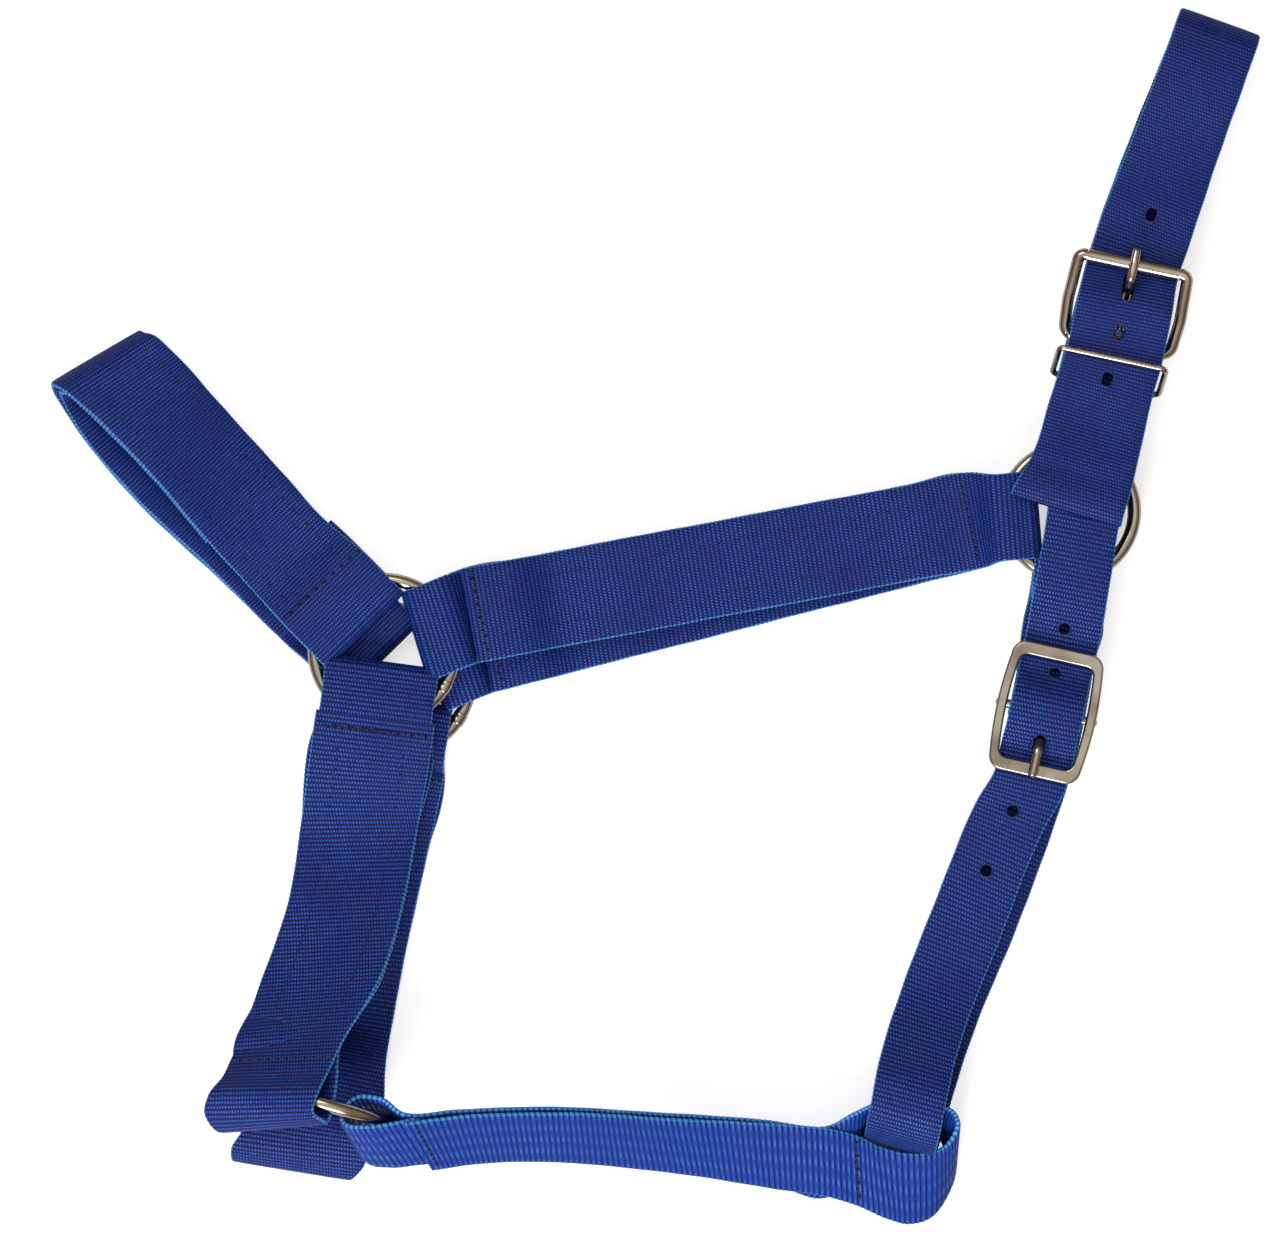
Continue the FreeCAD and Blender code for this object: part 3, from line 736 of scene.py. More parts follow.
def socket_group(name: str, inputs: Dict[str, str], outputs: Dict[str, str]) -> Tuple[NodeTree, Graph]:
    """Makes an empty node group with named sockets.

    Args:
        name: Name of the group.
        inputs: Socket types by name.
        outputs: Socket types by name.

    Returns:
        The group and its graph.
    """
    group = bpy.data.node_groups.new(name, "ShaderNodeTree")
    for label, kind in inputs.items():
        group.interface.new_socket(name=label, in_out="INPUT", socket_type=kind)
    for label, kind in outputs.items():
        group.interface.new_socket(name=label, in_out="OUTPUT", socket_type=kind)
    return group, Graph(group)


@dataclass
class Effects:
    """Node groups that several finishes share."""

    weave: NodeTree = field(init=False)
    smudge: NodeTree = field(init=False)

    def __post_init__(self) -> None:
        """Builds the groups."""
        self.weave = self._weave()
        self.smudge = self._smudge()

    @staticmethod
    def _wave(graph: Graph, phase: NodeSocket) -> NodeSocket:
        """Returns a wave between 0 and 1 that peaks at whole numbers of its phase."""
        turn = graph.math("COSINE", graph.math("MULTIPLY", phase, 2 * math.pi))
        return graph.math("MULTIPLY_ADD", turn, 0.5, 0.5)

    @classmethod
    def _weave(cls) -> NodeTree:
        """Builds the weave: ribs across the web made of rows of plump yarn float bumps, with a mask for the
        painted shade between ribs.

        Returns:
            The node group.
        """
        value, plumpness, rib_share, gap_edge, drift_scale = "NodeSocketFloat", 0.6, 0.55, 0.42, 260.0
        inputs = {"Layout": "NodeSocketVector"}
        inputs.update({label: value for label in ("Row Pitch", "Yarn Pitch", "Stagger", "Wander")})
        outputs = {label: value for label in ("Height", "Float", "Gap Shade", "Tone")}
        group, graph = socket_group("weave", inputs, outputs)
        start = graph.add("NodeGroupInput").outputs
        finish = graph.add("NodeGroupOutput").inputs
        layout = start["Layout"]
        place = graph.add("ShaderNodeSeparateXYZ")
        graph.feed(place.inputs[0], layout)
        drift = graph.math("SUBTRACT", graph.noise(layout, drift_scale), 0.5)
        drift = graph.math("MULTIPLY", drift, start["Wander"])
        along = graph.math("ADD", graph.math("DIVIDE", place.outputs[0], start["Row Pitch"]), drift)
        row = graph.math("FLOOR", graph.math("ADD", along, 0.5))
        rib = cls._wave(graph, along)
        odd = graph.math("MODULO", graph.math("ABSOLUTE", row), 2.0)
        shift = graph.math("MULTIPLY", odd, start["Stagger"])
        across = graph.math("DIVIDE", place.outputs[1], start["Yarn Pitch"])
        across = graph.math("ADD", graph.math("ADD", across, shift), graph.math("MULTIPLY", drift, 0.6))
        yarn = cls._wave(graph, across)
        plump = graph.math("POWER", graph.math("MULTIPLY", rib, yarn), plumpness)
        ridge = graph.math("MULTIPLY", graph.math("POWER", rib, plumpness), rib_share)
        height = graph.math("ADD", ridge, graph.math("MULTIPLY", plump, 1 - rib_share))
        cell = graph.add("ShaderNodeCombineXYZ")
        graph.feed(cell.inputs[0], row)
        graph.feed(cell.inputs[1], graph.math("FLOOR", graph.math("ADD", across, 0.5)))
        chance = graph.add("ShaderNodeTexWhiteNoise", noise_dimensions="3D")
        graph.feed(chance.inputs["Vector"], cell.outputs[0])
        graph.feed(finish["Height"], height)
        graph.feed(finish["Float"], plump)
        # Mask for the painted shade in the gaps between ribs.
        graph.feed(finish["Gap Shade"], graph.span(rib, 0.0, gap_edge, 1.0, 0.0))
        graph.feed(finish["Tone"], chance.outputs["Value"])
        return group

    @staticmethod
    def _smudge() -> NodeTree:
        """Builds the polish marks of plated metal: broad smudges and fine scuffs.

        Returns:
            The node group.
        """
        value, broad_scale, fine_scale = "NodeSocketFloat", 60.0, 900.0
        group, graph = socket_group("smudge", {"Scale": value}, {"Broad": value, "Fine": value})
        start = graph.add("NodeGroupInput")
        finish = graph.add("NodeGroupOutput")
        place = graph.add("ShaderNodeTexCoord").outputs["Object"]
        scaled = graph.add("ShaderNodeVectorMath", operation="SCALE")
        graph.feed(scaled.inputs[0], place)
        graph.feed(scaled.inputs[3], start.outputs["Scale"])
        graph.feed(finish.inputs["Broad"], graph.noise(scaled.outputs[0], broad_scale, 3.0))
        graph.feed(finish.inputs["Fine"], graph.noise(scaled.outputs[0], fine_scale, 2.0))
        return group


Colour = Tuple[float, float, float, float]


def colour(*display: float) -> Colour:
    """Turns display values into a linear colour.

    Args:
        display: Red, green and blue from 0 to 255.

    Returns:
        The linear colour with full alpha.
    """
    linear = []
    for value in display:
        share = value / 255
        linear.append(share / 12.92 if share <= 0.04045 else ((share + 0.055) / 1.055) ** 2.4)
    return (*linear, 1.0)


def blank(name: str) -> Tuple[Material, Graph, Node]:
    """Makes a material with only a Principled BSDF and an output.

    Args:
        name: Name of the material.

    Returns:
        The material, its graph and the shader node.
    """
    material = bpy.data.materials.new(name)
    material.use_nodes = True
    graph = Graph(material.node_tree)
    return material, graph, material.node_tree.nodes["Principled BSDF"]


@dataclass(frozen=True)
class WebbingFinish:
    """Woven nylon: raised ribs of yarn over painted shade in the gaps between ribs, with a painted highlight on
    each float crest and along the beaded edges.
    """

    name: str
    groove_shade: Colour
    body: Colour
    float_highlight: Colour
    selvedge_highlight: Colour
    row_pitch: float
    yarn_pitch: float
    stagger: float = 0.5
    wander: float = 0.10
    depth: float = 0.26
    float_highlight_share: float = 0.95
    sheen: float = 0.04

    def make(self, effects: Effects) -> Material:
        """Builds the material.

        Args:
            effects: Shared node groups.

        Returns:
            The material.
        """
        material, graph, shader = blank(self.name)
        layout = graph.add("ShaderNodeUVMap", uv_map="layout").outputs[0]
        weave = graph.add("ShaderNodeGroup", node_tree=effects.weave)
        graph.feed(weave.inputs["Layout"], layout)
        weave.inputs["Row Pitch"].default_value = self.row_pitch * MM
        weave.inputs["Yarn Pitch"].default_value = self.yarn_pitch * MM
        weave.inputs["Stagger"].default_value = self.stagger
        weave.inputs["Wander"].default_value = self.wander
        height, plump = weave.outputs["Height"], weave.outputs["Float"]
        tone = graph.span(weave.outputs["Tone"], 0.0, 1.0, 0.55, 1.0)
        edge = graph.add("ShaderNodeAttribute", attribute_name="selvedge_highlight").outputs["Fac"]
        fade = graph.span(graph.noise(layout, 38.0, 3.0), 0.3, 0.7, 0.0, 1.0)
        # Painted shade: the groove colour darkens the gaps between ribs.
        shade = graph.mix(weave.outputs["Gap Shade"], self.body, self.groove_shade)
        # Painted highlight: a lighter colour on each float crest, at random strength per float and in broad noise
        # patches.
        share = graph.math("MULTIPLY", graph.span(plump, 0.55, 1.0), tone)
        share = graph.math("MULTIPLY", share, self.float_highlight_share)
        share = graph.math("MULTIPLY", share, graph.span(fade, 0.0, 1.0, 0.45, 1.1))
        shade = graph.mix(share, shade, self.float_highlight)
        # Painted highlight along the beaded edges, strongest on the rib crests.
        border = graph.math("MULTIPLY", graph.span(edge, 0.35, 0.9), graph.span(height, 0.1, 0.6, 0.15, 1.0))
        shade = graph.mix(border, shade, self.selvedge_highlight)
        graph.feed(shader.inputs["Base Color"], shade)
        graph.feed(shader.inputs["Roughness"], graph.span(plump, 0.2, 0.9, 0.7, 0.3))
        shader.inputs["Specular IOR Level"].default_value = 0.28
        shader.inputs["Sheen Weight"].default_value = self.sheen
        shader.inputs["Sheen Roughness"].default_value = 0.4
        shader.inputs["Sheen Tint"].default_value = self.float_highlight
        bump = graph.add("ShaderNodeBump")
        bump.inputs["Strength"].default_value = 1.0
        bump.inputs["Distance"].default_value = self.depth * MM
        fuzz = graph.math("MULTIPLY", graph.noise(layout, 4200.0, 2.0), 0.18)
        graph.feed(bump.inputs["Height"], graph.math("ADD", height, fuzz))
        graph.feed(shader.inputs["Normal"], bump.outputs[0])
        return material


@dataclass(frozen=True)
class ThreadFinish:
    """Twisted sewing thread, or the painted shade of a needle hole."""

    name: str
    light: Colour
    dark: Colour
    roughness: float = 0.6
    ply_scale: float = 2600.0

    def make(self) -> Material:
        """Builds the material.

        Returns:
            The material.
        """
        material, graph, shader = blank(self.name)
        place = graph.add("ShaderNodeTexCoord").outputs["Object"]
        twist = graph.noise(place, self.ply_scale, 2.0)
        graph.feed(shader.inputs["Base Color"], graph.mix(graph.span(twist, 0.35, 0.65), self.dark, self.light))
        rough = graph.span(twist, 0.3, 0.7, self.roughness, self.roughness + 0.2)
        graph.feed(shader.inputs["Roughness"], rough)
        bump = graph.add("ShaderNodeBump")
        bump.inputs["Distance"].default_value = 0.08 * MM
        graph.feed(bump.inputs["Height"], twist)
        graph.feed(shader.inputs["Normal"], bump.outputs[0])
        return material


@dataclass(frozen=True)
class NickelFinish:
    """Bright nickel plate with light smudges and fine scuffs."""

    name: str
    tint: Colour
    shadow: Colour
    roughness: float
    grain: float
    scale: float = 1.0

    def make(self, effects: Effects) -> Material:
        """Builds the material.

        Args:
            effects: Shared node groups.

        Returns:
            The material.
        """
        material, graph, shader = blank(self.name)
        smudge = graph.add("ShaderNodeGroup", node_tree=effects.smudge)
        smudge.inputs["Scale"].default_value = self.scale
        broad, fine = smudge.outputs["Broad"], smudge.outputs["Fine"]
        graph.feed(shader.inputs["Base Color"], graph.mix(graph.span(broad, 0.4, 0.68), self.tint, self.shadow))
        polish = graph.span(broad, 0.35, 0.7, self.roughness, self.roughness * 1.9)
        polish = graph.math("ADD", polish, graph.math("MULTIPLY", fine, 0.05))
        graph.feed(shader.inputs["Roughness"], polish)
        shader.inputs["Metallic"].default_value = 1.0
        bump = graph.add("ShaderNodeBump")
        bump.inputs["Strength"].default_value = 0.3
        bump.inputs["Distance"].default_value = self.grain * MM
        graph.feed(bump.inputs["Height"], graph.math("ADD", broad, graph.math("MULTIPLY", fine, 0.3)))
        graph.feed(shader.inputs["Normal"], bump.outputs[0])
        return material


@dataclass
class Finishes:
    """Every finish of the halter, built once."""

    effects: Effects = field(default_factory=Effects)
    nose: Material = field(init=False)
    cheek: Material = field(init=False)
    crown: Material = field(init=False)
    ribbed: Material = field(init=False)
    thread: Material = field(init=False)
    hole_shade: Material = field(init=False)
    rim: Material = field(init=False)
    wire: Material = field(init=False)
    casting: Material = field(init=False)

    NOSE_ROW = 1.2
    CHEEK_ROW = 1.5
    CROWN_ROW = 1.15
    RIB_ROW = 1.9

    def __post_init__(self) -> None:
        """Builds the materials."""
        # Webbing colours: painted shade for the gaps between ribs, the web's own navy, then painted highlights
        # for the float crests and the edges.
        groove_shade, body = colour(8, 16, 74), colour(15, 34, 122)
        float_highlight, selvedge_highlight = colour(50, 136, 245), colour(84, 166, 245)
        common, shared = (groove_shade, body, float_highlight, selvedge_highlight), self.effects
        self.nose = WebbingFinish("nose_webbing", *common, self.NOSE_ROW, 0.95).make(shared)
        self.cheek = WebbingFinish("cheek_webbing", *common, self.CHEEK_ROW, 1.0).make(shared)
        self.crown = WebbingFinish(
            "crown_webbing", *common, self.CROWN_ROW, 1.0, depth=0.18, float_highlight_share=0.6
        ).make(shared)
        # Connector colours in the same order; the shared edge colour is the painted edge highlight.
        self.ribbed = WebbingFinish(
            "connector_webbing", colour(8, 24, 92), colour(18, 68, 176), colour(56, 136, 236), selvedge_highlight,
            self.RIB_ROW, 6.0, stagger=0.0, wander=0.16, depth=0.42, float_highlight_share=0.5,
        ).make(shared)
        self.thread = ThreadFinish("seam_thread", colour(34, 44, 104), colour(12, 18, 52)).make()
        # Needle holes: near-black navy painted as the shade inside them.
        self.hole_shade = ThreadFinish("needle_hole_shade", colour(8, 10, 26), colour(3, 4, 12), 0.9).make()
        self.rim = ThreadFinish("melted_rim", colour(24, 40, 110), colour(10, 18, 60), 0.35, 900.0).make()
        self.wire = NickelFinish(
            "nickel_wire_finish", colour(196, 184, 168), colour(160, 143, 124), 0.09, 0.02
        ).make(shared)
        self.casting = NickelFinish(
            "nickel_casting_finish", colour(188, 177, 162), colour(148, 134, 118), 0.15, 0.04, 1.4
        ).make(shared)


# ------------------------------------------------------------------ layout

class Plan:
    """Where the halter's rings, folds and buckles lie, read from the frame, with the headings between them."""

    NOSE_WEB = 38.0
    CHEEK_WEB = 31.5
    CROWN_WEB = 32.0
    THROAT_WEB = 24.4
    CONNECTOR_WEB = 25.4
    NOSE_OUT = 134.5
    CHEEK_OUT = 22.0
    CHEEK_RUN = 10.2
    CHIN_OUT = 262.4
    CHEEK_IN = 185.0
    CROWN_OUT = 74.5
    CROWN_TOP = 70.3
    BUCKLE_TURN = 78.0
    THROAT_OUT = 264.0
    THROAT_RUN = 257.3
    LOW_FAR = 1.1
    RING_WIRE = 2.2
    HEEL_WIRE = 2.0
    HEEL_REACH = 57.7
    ROLLER_REACH = 27.0
    NEAR_NOSE_PLACE = (-90.7, -12.3, 0)

    def __init__(self) -> None:
        """Reads the rings."""
        self.near_nose = RingFit.of("near_nose_ring")
        self.far_nose = RingFit.of("far_nose_ring")
        self.near_top = RingFit.of("near_top_ring")
        self.far_top = RingFit.of("far_top_ring")
        self.chin = RingFit.of("chin_ring")
        self.origin = self.near_nose.centre * [1, 1, 0] - self.NEAR_NOSE_PLACE
        self.near_z = self.near_nose.centre[2]
        self.near_low = self.near_z - self.near_nose.wire - SOFT_GAP - PLY / 2
        self.over_ring = self.near_z + self.RING_WIRE + 2 * SOFT_GAP + 1.5 * PLY
        self.heel = self.crown_point(self.HEEL_REACH, self.near_z)
        self.over_heel = self.near_z + self.HEEL_WIRE + 2 * SOFT_GAP + 1.5 * PLY + 0.2
        self.under_roller = self.near_z + 2.4
        self.roller = self.heel + heading(self.BUCKLE_TURN) * self.ROLLER_REACH
        self.throat_bar = self.point(129.3, -33.0, self.near_z + 0.8)
        self.under_bar = self.near_z + 0.75
        self.over_bar = self.near_z + 6.3
        self.chape_z = self.near_z - 4.1

    def point(self, x: float, y: float, z: float) -> np.ndarray:
        """Returns a place of the layout in the frame's millimetres."""
        return self.origin + np.array([x, y, z])

    def lying(self, x: float, y: float, z: float, angle: float, width: float) -> Section:
        """Returns a section of a strap, given in the layout.

        Args:
            x: Place along +X.
            y: Place along +Y.
            z: Height of the middle of the layer.
            angle: Heading of the strap.
            width: Width of the strap.

        Returns:
            The section.
        """
        return Section(self.point(x, y, z), left_of(angle), width)

    def rows(self, table: Sequence[Sequence[float]]) -> List[Section]:
        """Returns sections from the layout places of their edges.

        Args:
            table: For each section the X, Y and Z of its left edge, then of its right edge.

        Returns:
            The sections.
        """
        return [spread(self.point(*row[:3]), self.point(*row[3:])) for row in table]

    def crown_point(self, reach: float, z: float) -> np.ndarray:
        """Returns a place on the crown's middle line, from the top rings."""
        return self.near_top.centre * [1, 1, 0] + heading(self.CROWN_OUT) * reach + UP * z


def spread(left: np.ndarray, right: np.ndarray) -> Section:
    """Returns a section from its two edges.

    Args:
        left: Left edge, seen along the strap.
        right: Right edge.

    Returns:
        The section.
    """
    return Section((left + right) / 2, unit(left - right), float(np.linalg.norm(left - right)))


def stacked(spine: List[Section], rises: Sequence[float]) -> List[Section]:
    """Returns a spine moved square to its face by a rise for each section.

    Args:
        spine: Sections in order.
        rises: Distance for each section.

    Returns:
        The moved sections.
    """
    last = len(spine) - 1
    moved = []
    for index, (section, rise) in enumerate(zip(spine, rises)):
        ahead = spine[min(index + 1, last)].point - spine[max(index - 1, 0)].point
        moved.append(section.offset(ahead, rise))
    return moved


def lapped(
    start_eye: List[Section], spine: List[Section], end_eye: List[Section], lap: int = 2
) -> List[Section]:
    """Returns the sections of a two-layer strap: over the top, round the far eye and back below.

    Args:
        start_eye: Eye at the start, upper side first.
        spine: Lower layer from start to end.
        end_eye: Eye at the end, upper side first.
        lap: How many sections the end of the web runs on under the upper layer.

    Returns:
        The sections in order along the web.
    """
    over = stacked(spine, [PITCH * (2 if index < lap else 1) for index in range(len(spine))])
    under = stacked(spine, [PITCH] * len(spine))[:lap]
    return over + end_eye + spine[::-1] + start_eye[::-1] + under


def fold(
    middle: np.ndarray, away: np.ndarray, across: np.ndarray, radius: float, width: float
) -> List[Section]:
    """Returns the sections of a half turn from the upper layer down to the lower one.

    Args:
        middle: Centre of the turn.
        away: Direction that points out of the fold.
        across: Direction across the web.
        radius: Radius of the turn.
        width: Width of the web.

    Returns:
        The sections, upper side first.
    """
    places = half_turn(radius, 90, -1)[1:-1]
    return [Section(middle + away * reach + UP * rise, across, width) for reach, rise in places]


# ------------------------------------------------------------------ straps

@dataclass
class StrapKit:
    """What every strap class needs: the layout and the finishes."""

    plan: Plan
    finishes: Finishes

    def sew(self, strip: Strip, seams: List[Seam], body: Body = Body.HALTER) -> None:
        """Adds a strap's stitching.

        Args:
            strip: Strap that is sewn.
            seams: Rows of stitches.
            body: Body that it rides on.
        """
        Stitching(strip.name + "_stitching", strip, seams).build(self.finishes.thread, self.finishes.hole_shade, body)

    @staticmethod
    def row_across(distance: float, half: float, slant: float = 0.0, **looks: float) -> Seam:
        """Returns a row of stitches from one edge of a strap to the other.

        Args:
            distance: Distance along the strap at which it starts.
            half: Lateral place of its start; it ends as far on the other side.
            slant: How much further along the strap it ends.
            looks: Other values of the seam.

        Returns:
            The row.
        """
        return Seam((distance, half), (distance + slant, -half), **looks)

    @staticmethod
    def edge_lines(start: float, end: float, half: float, inset: float) -> List[Seam]:
        """Returns two rows of stitches that run along a strap near its edges.

        Args:
            start: Distance at which the rows start.
            end: Distance at which they end.
            half: Half the width of the strap.
            inset: Distance of each row from its edge.

        Returns:
            The rows.
        """
        looks = {"pitch": 3.1, "thread": 0.2, "proud": -0.06}
        longest = 30.0
        steps = max(1, int((end - start) / longest))
        places = [start + (end - start) * index / steps for index in range(steps + 1)]
        return [
            Seam((first, lateral), (last, lateral), **looks)
            for lateral in (half - inset, inset - half) for first, last in zip(places, places[1:])
        ]


@dataclass
class Noseband(StrapKit):
    """Doubled noseband, folded over the nose, with an eye on each nose ring."""

    width: float = Plan.NOSE_WEB
    eye_width: float = 36.0

    def build(self) -> None:
        """Builds the web and its stitching."""
        plan = self.plan
        out = plan.NOSE_OUT
        near_low, low_far = plan.near_low, plan.LOW_FAR
        near = [plan.lying(-113.1, 10.5, near_low, out, self.width - 2)] + plan.rows([
            (-134.9, 7.9, near_low + 1.5, -110.9, 31.0, near_low),
            (-149.7, 23.3, 17.0, -125.4, 46.7, 9.5),
            (-172.0, 49.3, 20.0, -148.3, 71.6, 11.0),
            (-189.7, 67.0, 19.5, -161.8, 86.8, 12.0),
            (-196.8, 73.0, 18.0, -167.6, 92.0, 13.0),
        ])
        far = [plan.lying(-108.1, 0.5, low_far, out, self.width - 1)] + plan.rows([
            (-146.0, 11.6, 8.0, -119.8, 36.2, low_far),
            (-175.8, 39.8, 13.0, -149.6, 65.3, low_far),
            (-193.8, 62.2, 8.5, -165.3, 83.5, low_far),
            (-199.0, 70.0, 5.5, -169.2, 88.6, 2.6),
        ])
        turn = plan.rows([
            (-200.3, 75.3, 16.8, -170.4, 93.0, 13.2),
            (-201.3, 75.9, 13.6, -171.4, 93.5, 10.8),
            (-201.4, 74.9, 10.2, -171.5, 92.9, 7.6),
            (-200.5, 72.6, 7.2, -170.5, 91.2, 4.8),
        ])
        inner_turn = plan.rows([
            (-198.2, 73.0, 14.6, -168.6, 91.2, 11.6),
            (-198.9, 73.5, 12.4, -169.2, 91.4, 9.8),
            (-198.6, 72.0, 9.6, -169.0, 90.4, 7.4),
        ])
        near_eye = plan.near_nose.eye(out, self.eye_width, left_of(out))
        far_eye = plan.far_nose.eye(out, self.eye_width, left_of(out))
        tail = [plan.lying(-121.0, 18.7, near_low, out, self.width - 3), near[0]]
        inner_far = stacked(far, [PITCH] * len(far))
        outer_near = stacked(near[1:], [PITCH] * (len(near) - 1))
        sections = tail + near_eye[::-1] + outer_near + turn + far[::-1] + far_eye[::-1]
        sections += inner_far[:-1] + inner_turn[::-1] + near[:1:-1]
        strip = Strip("noseband_web", sections, row_pitch=Finishes.NOSE_ROW)
        strip.build(self.finishes.nose, Body.HALTER, Slot.WEBBING, "noseband")
        half = self.width / 2
        seam = strip.distance_at(plan.point(-111.5, 8.8, 0), 40, 90)
        end = strip.distance_at(plan.point(-176.5, 75.5, 0), 60, 170)
        seams = [self.row_across(seam, 2.0 - half, 1.0, pitch=4.0, thread=0.42, proud=0.0)]
        seams += self.edge_lines(seam + 4.0, end, half, 7.5)
        self.sew(strip, seams)


@dataclass
class CheekStrap(StrapKit):
    """Doubled cheek strap between a nose ring and a top ring."""

    name: str = "near_cheek_strap"
    near: bool = True
    width: float = Plan.CHEEK_WEB
    start_eye: float = 31.0
    end_eye: float = 29.0
    sag: float = 2.5

    def build(self) -> None:
        """Builds the web and its stitching."""
        plan = self.plan
        start = plan.near_nose if self.near else plan.far_nose
        end = plan.near_top if self.near else plan.far_top
        low = plan.near_low if self.near else plan.LOW_FAR
        first = start.centre + heading(plan.CHEEK_OUT) * 30.0
        final = end.centre + heading(plan.CHEEK_IN) * 30.0
        spine = []
        for share in (0.0, 0.11, 0.15, 0.3, 0.5, 0.7, 0.87, 1.0):
            point = first + (final - first) * share
            point[2] = low - (self.sag * math.sin(math.pi * share) ** 0.5 if 0 < share < 1 else 0.0)
            spine.append(Section(point, left_of(plan.CHEEK_RUN), self.width))
        sections = lapped(
            start.eye(plan.CHEEK_OUT, self.start_eye, left_of(plan.CHEEK_OUT - 5.0), 1.2), spine,
            end.eye(plan.CHEEK_IN, self.end_eye, left_of(plan.CHEEK_IN - 180)),
        )
        strip = Strip(self.name + "_web", sections, row_pitch=Finishes.CHEEK_ROW)
        strip.build(self.finishes.cheek, Body.HALTER, Slot.WEBBING, self.name)
        half = self.width / 2
        run = float(np.linalg.norm(final - first))
        left, right = 3.4, run - 3.0
        seams = [
            self.row_across(left, half - 1.5, 0.5, pitch=2.2, thread=0.42, zigzag=0.25),
            self.row_across(right, half - 1.5, 0.5, pitch=2.6, thread=0.36),
        ]
        seams += self.edge_lines(left + 4.0, right - 4.0, half, 7.5)
        self.sew(strip, seams)


@dataclass
class ChinStraps(StrapKit):
    """Near and far chin straps, from the nose rings to the chin ring."""

    width: float = Plan.NOSE_WEB
    eye_width: float = 35.0

    def build(self) -> None:
        """Builds both straps."""
        self._near()
        self._far()

    def _near(self) -> None:
        """Builds the near chin strap, which climbs to the chin ring and loops through its upper part."""
        plan = self.plan
        out = plan.CHIN_OUT
        low = plan.near_low
        start = plan.near_nose.centre * [1, 1, 0] + heading(out) * 29.0 + UP * low
        spine = [Section(start, left_of(out), self.width + 1.5)] + plan.rows([
            (-79.7, -72.0, 13.5, -118.8, -72.6, 13.0),
            (-84.0, -95.0, 20.0, -122.3, -96.4, 18.5),
            (-91.8, -122.5, 31.0, -132.0, -125.5, 27.0),
            (-105.5, -146.5, 43.0, -140.3, -148.5, 37.0),
        ])
        loop = plan.rows([
            (-109.3, -152.8, 50.0, -144.0, -154.0, 43.5),
            (-112.0, -158.5, 55.0, -148.4, -159.6, 45.5),
            (-113.6, -164.5, 56.0, -149.8, -165.8, 42.0),
            (-110.0, -167.8, 54.5, -145.5, -171.5, 36.0),
            (-108.6, -168.0, 51.0, -141.0, -169.5, 30.0),
            (-107.0, -163.0, 49.0, -137.5, -162.5, 28.5),
            (-106.0, -155.0, 45.5, -138.2, -155.0, 31.5),
        ])
        ring = plan.near_nose.centre * [1, 1, 0] + UP * (plan.near_z + 5.9)
        ledge = [Section(ring + heading(out) * reach, left_of(out), self.width + 1.5) for reach in (22.5, 27.5)]
        sections = lapped(plan.near_nose.eye(out, 38.0, left_of(out), 3.0), spine, loop, lap=1)
        sections = ledge + sections[1:]
        strip = Strip("near_chin_strap_web", sections, row_pitch=Finishes.CHEEK_ROW)
        strip.build(self.finishes.cheek, Body.HALTER, Slot.WEBBING, "near_chin_strap")
        half = self.width / 2
        top = 4.0
        seams = [self.row_across(top, half - 1.5, 1.0, pitch=2.3, thread=0.4, zigzag=0.2)]
        seams += self.edge_lines(top + 8.0, top + 100.0, half, 8.0)
        bottom = strip.distance_at(plan.point(-121.0, -149.5, 0), 80, 150)
        seams.append(self.row_across(bottom, half - 2.0, pitch=3.0, thread=0.36))
        self.sew(strip, seams)

    def _far(self) -> None:
        """Builds the far chin strap, whose lower eye passes through the lower part of the chin ring."""
        plan = self.plan
        low = plan.LOW_FAR
        out = plan.CHIN_OUT
        start = plan.far_nose.centre * [1, 1, 0] + heading(out) * 29.0 + UP * low
        spine = [Section(start, left_of(out - 2.0), self.width)] + plan.rows([
            (-77.0, -82.0, low, -114.0, -80.0, low),
            (-84.0, -114.0, low, -121.5, -110.0, low),
            (-89.0, -140.0, low, -127.0, -134.0, low),
        ])
        loop = plan.rows([
            (-90.5, -153.0, 14.0, -127.0, -146.0, 14.0),
            (-91.2, -166.0, 18.2, -126.5, -158.5, 18.2),
            (-97.0, -176.0, 19.2, -136.0, -170.0, 19.2),
            (-97.3, -183.0, 16.5, -141.0, -177.0, 17.5),
            (-101.5, -188.0, 10.5, -141.5, -181.5, 10.5),
            (-101.5, -185.5, 3.6, -141.0, -179.0, 3.6),
            (-100.5, -179.0, low, -138.5, -172.0, low),
        ])
        rises = [PITCH * (2 if index == 0 else 1) for index in range(len(spine))]
        eye = plan.far_nose.eye(out, 37.0, left_of(out - 2.0), 2.0)
        sections = stacked(spine, rises) + loop + spine[::-1] + eye[::-1] + [spine[0].lifted(PITCH)]
        strip = Strip("far_chin_strap_web", sections, row_pitch=Finishes.CHEEK_ROW)
        strip.build(self.finishes.cheek, Body.HALTER, Slot.WEBBING, "far_chin_strap")
        half = self.width / 2
        top = strip.distance_at(start, 0, 60)
        self.sew(strip, [self.row_across(top + 2.0, half - 1.5, 1.0, pitch=2.4, thread=0.4)])


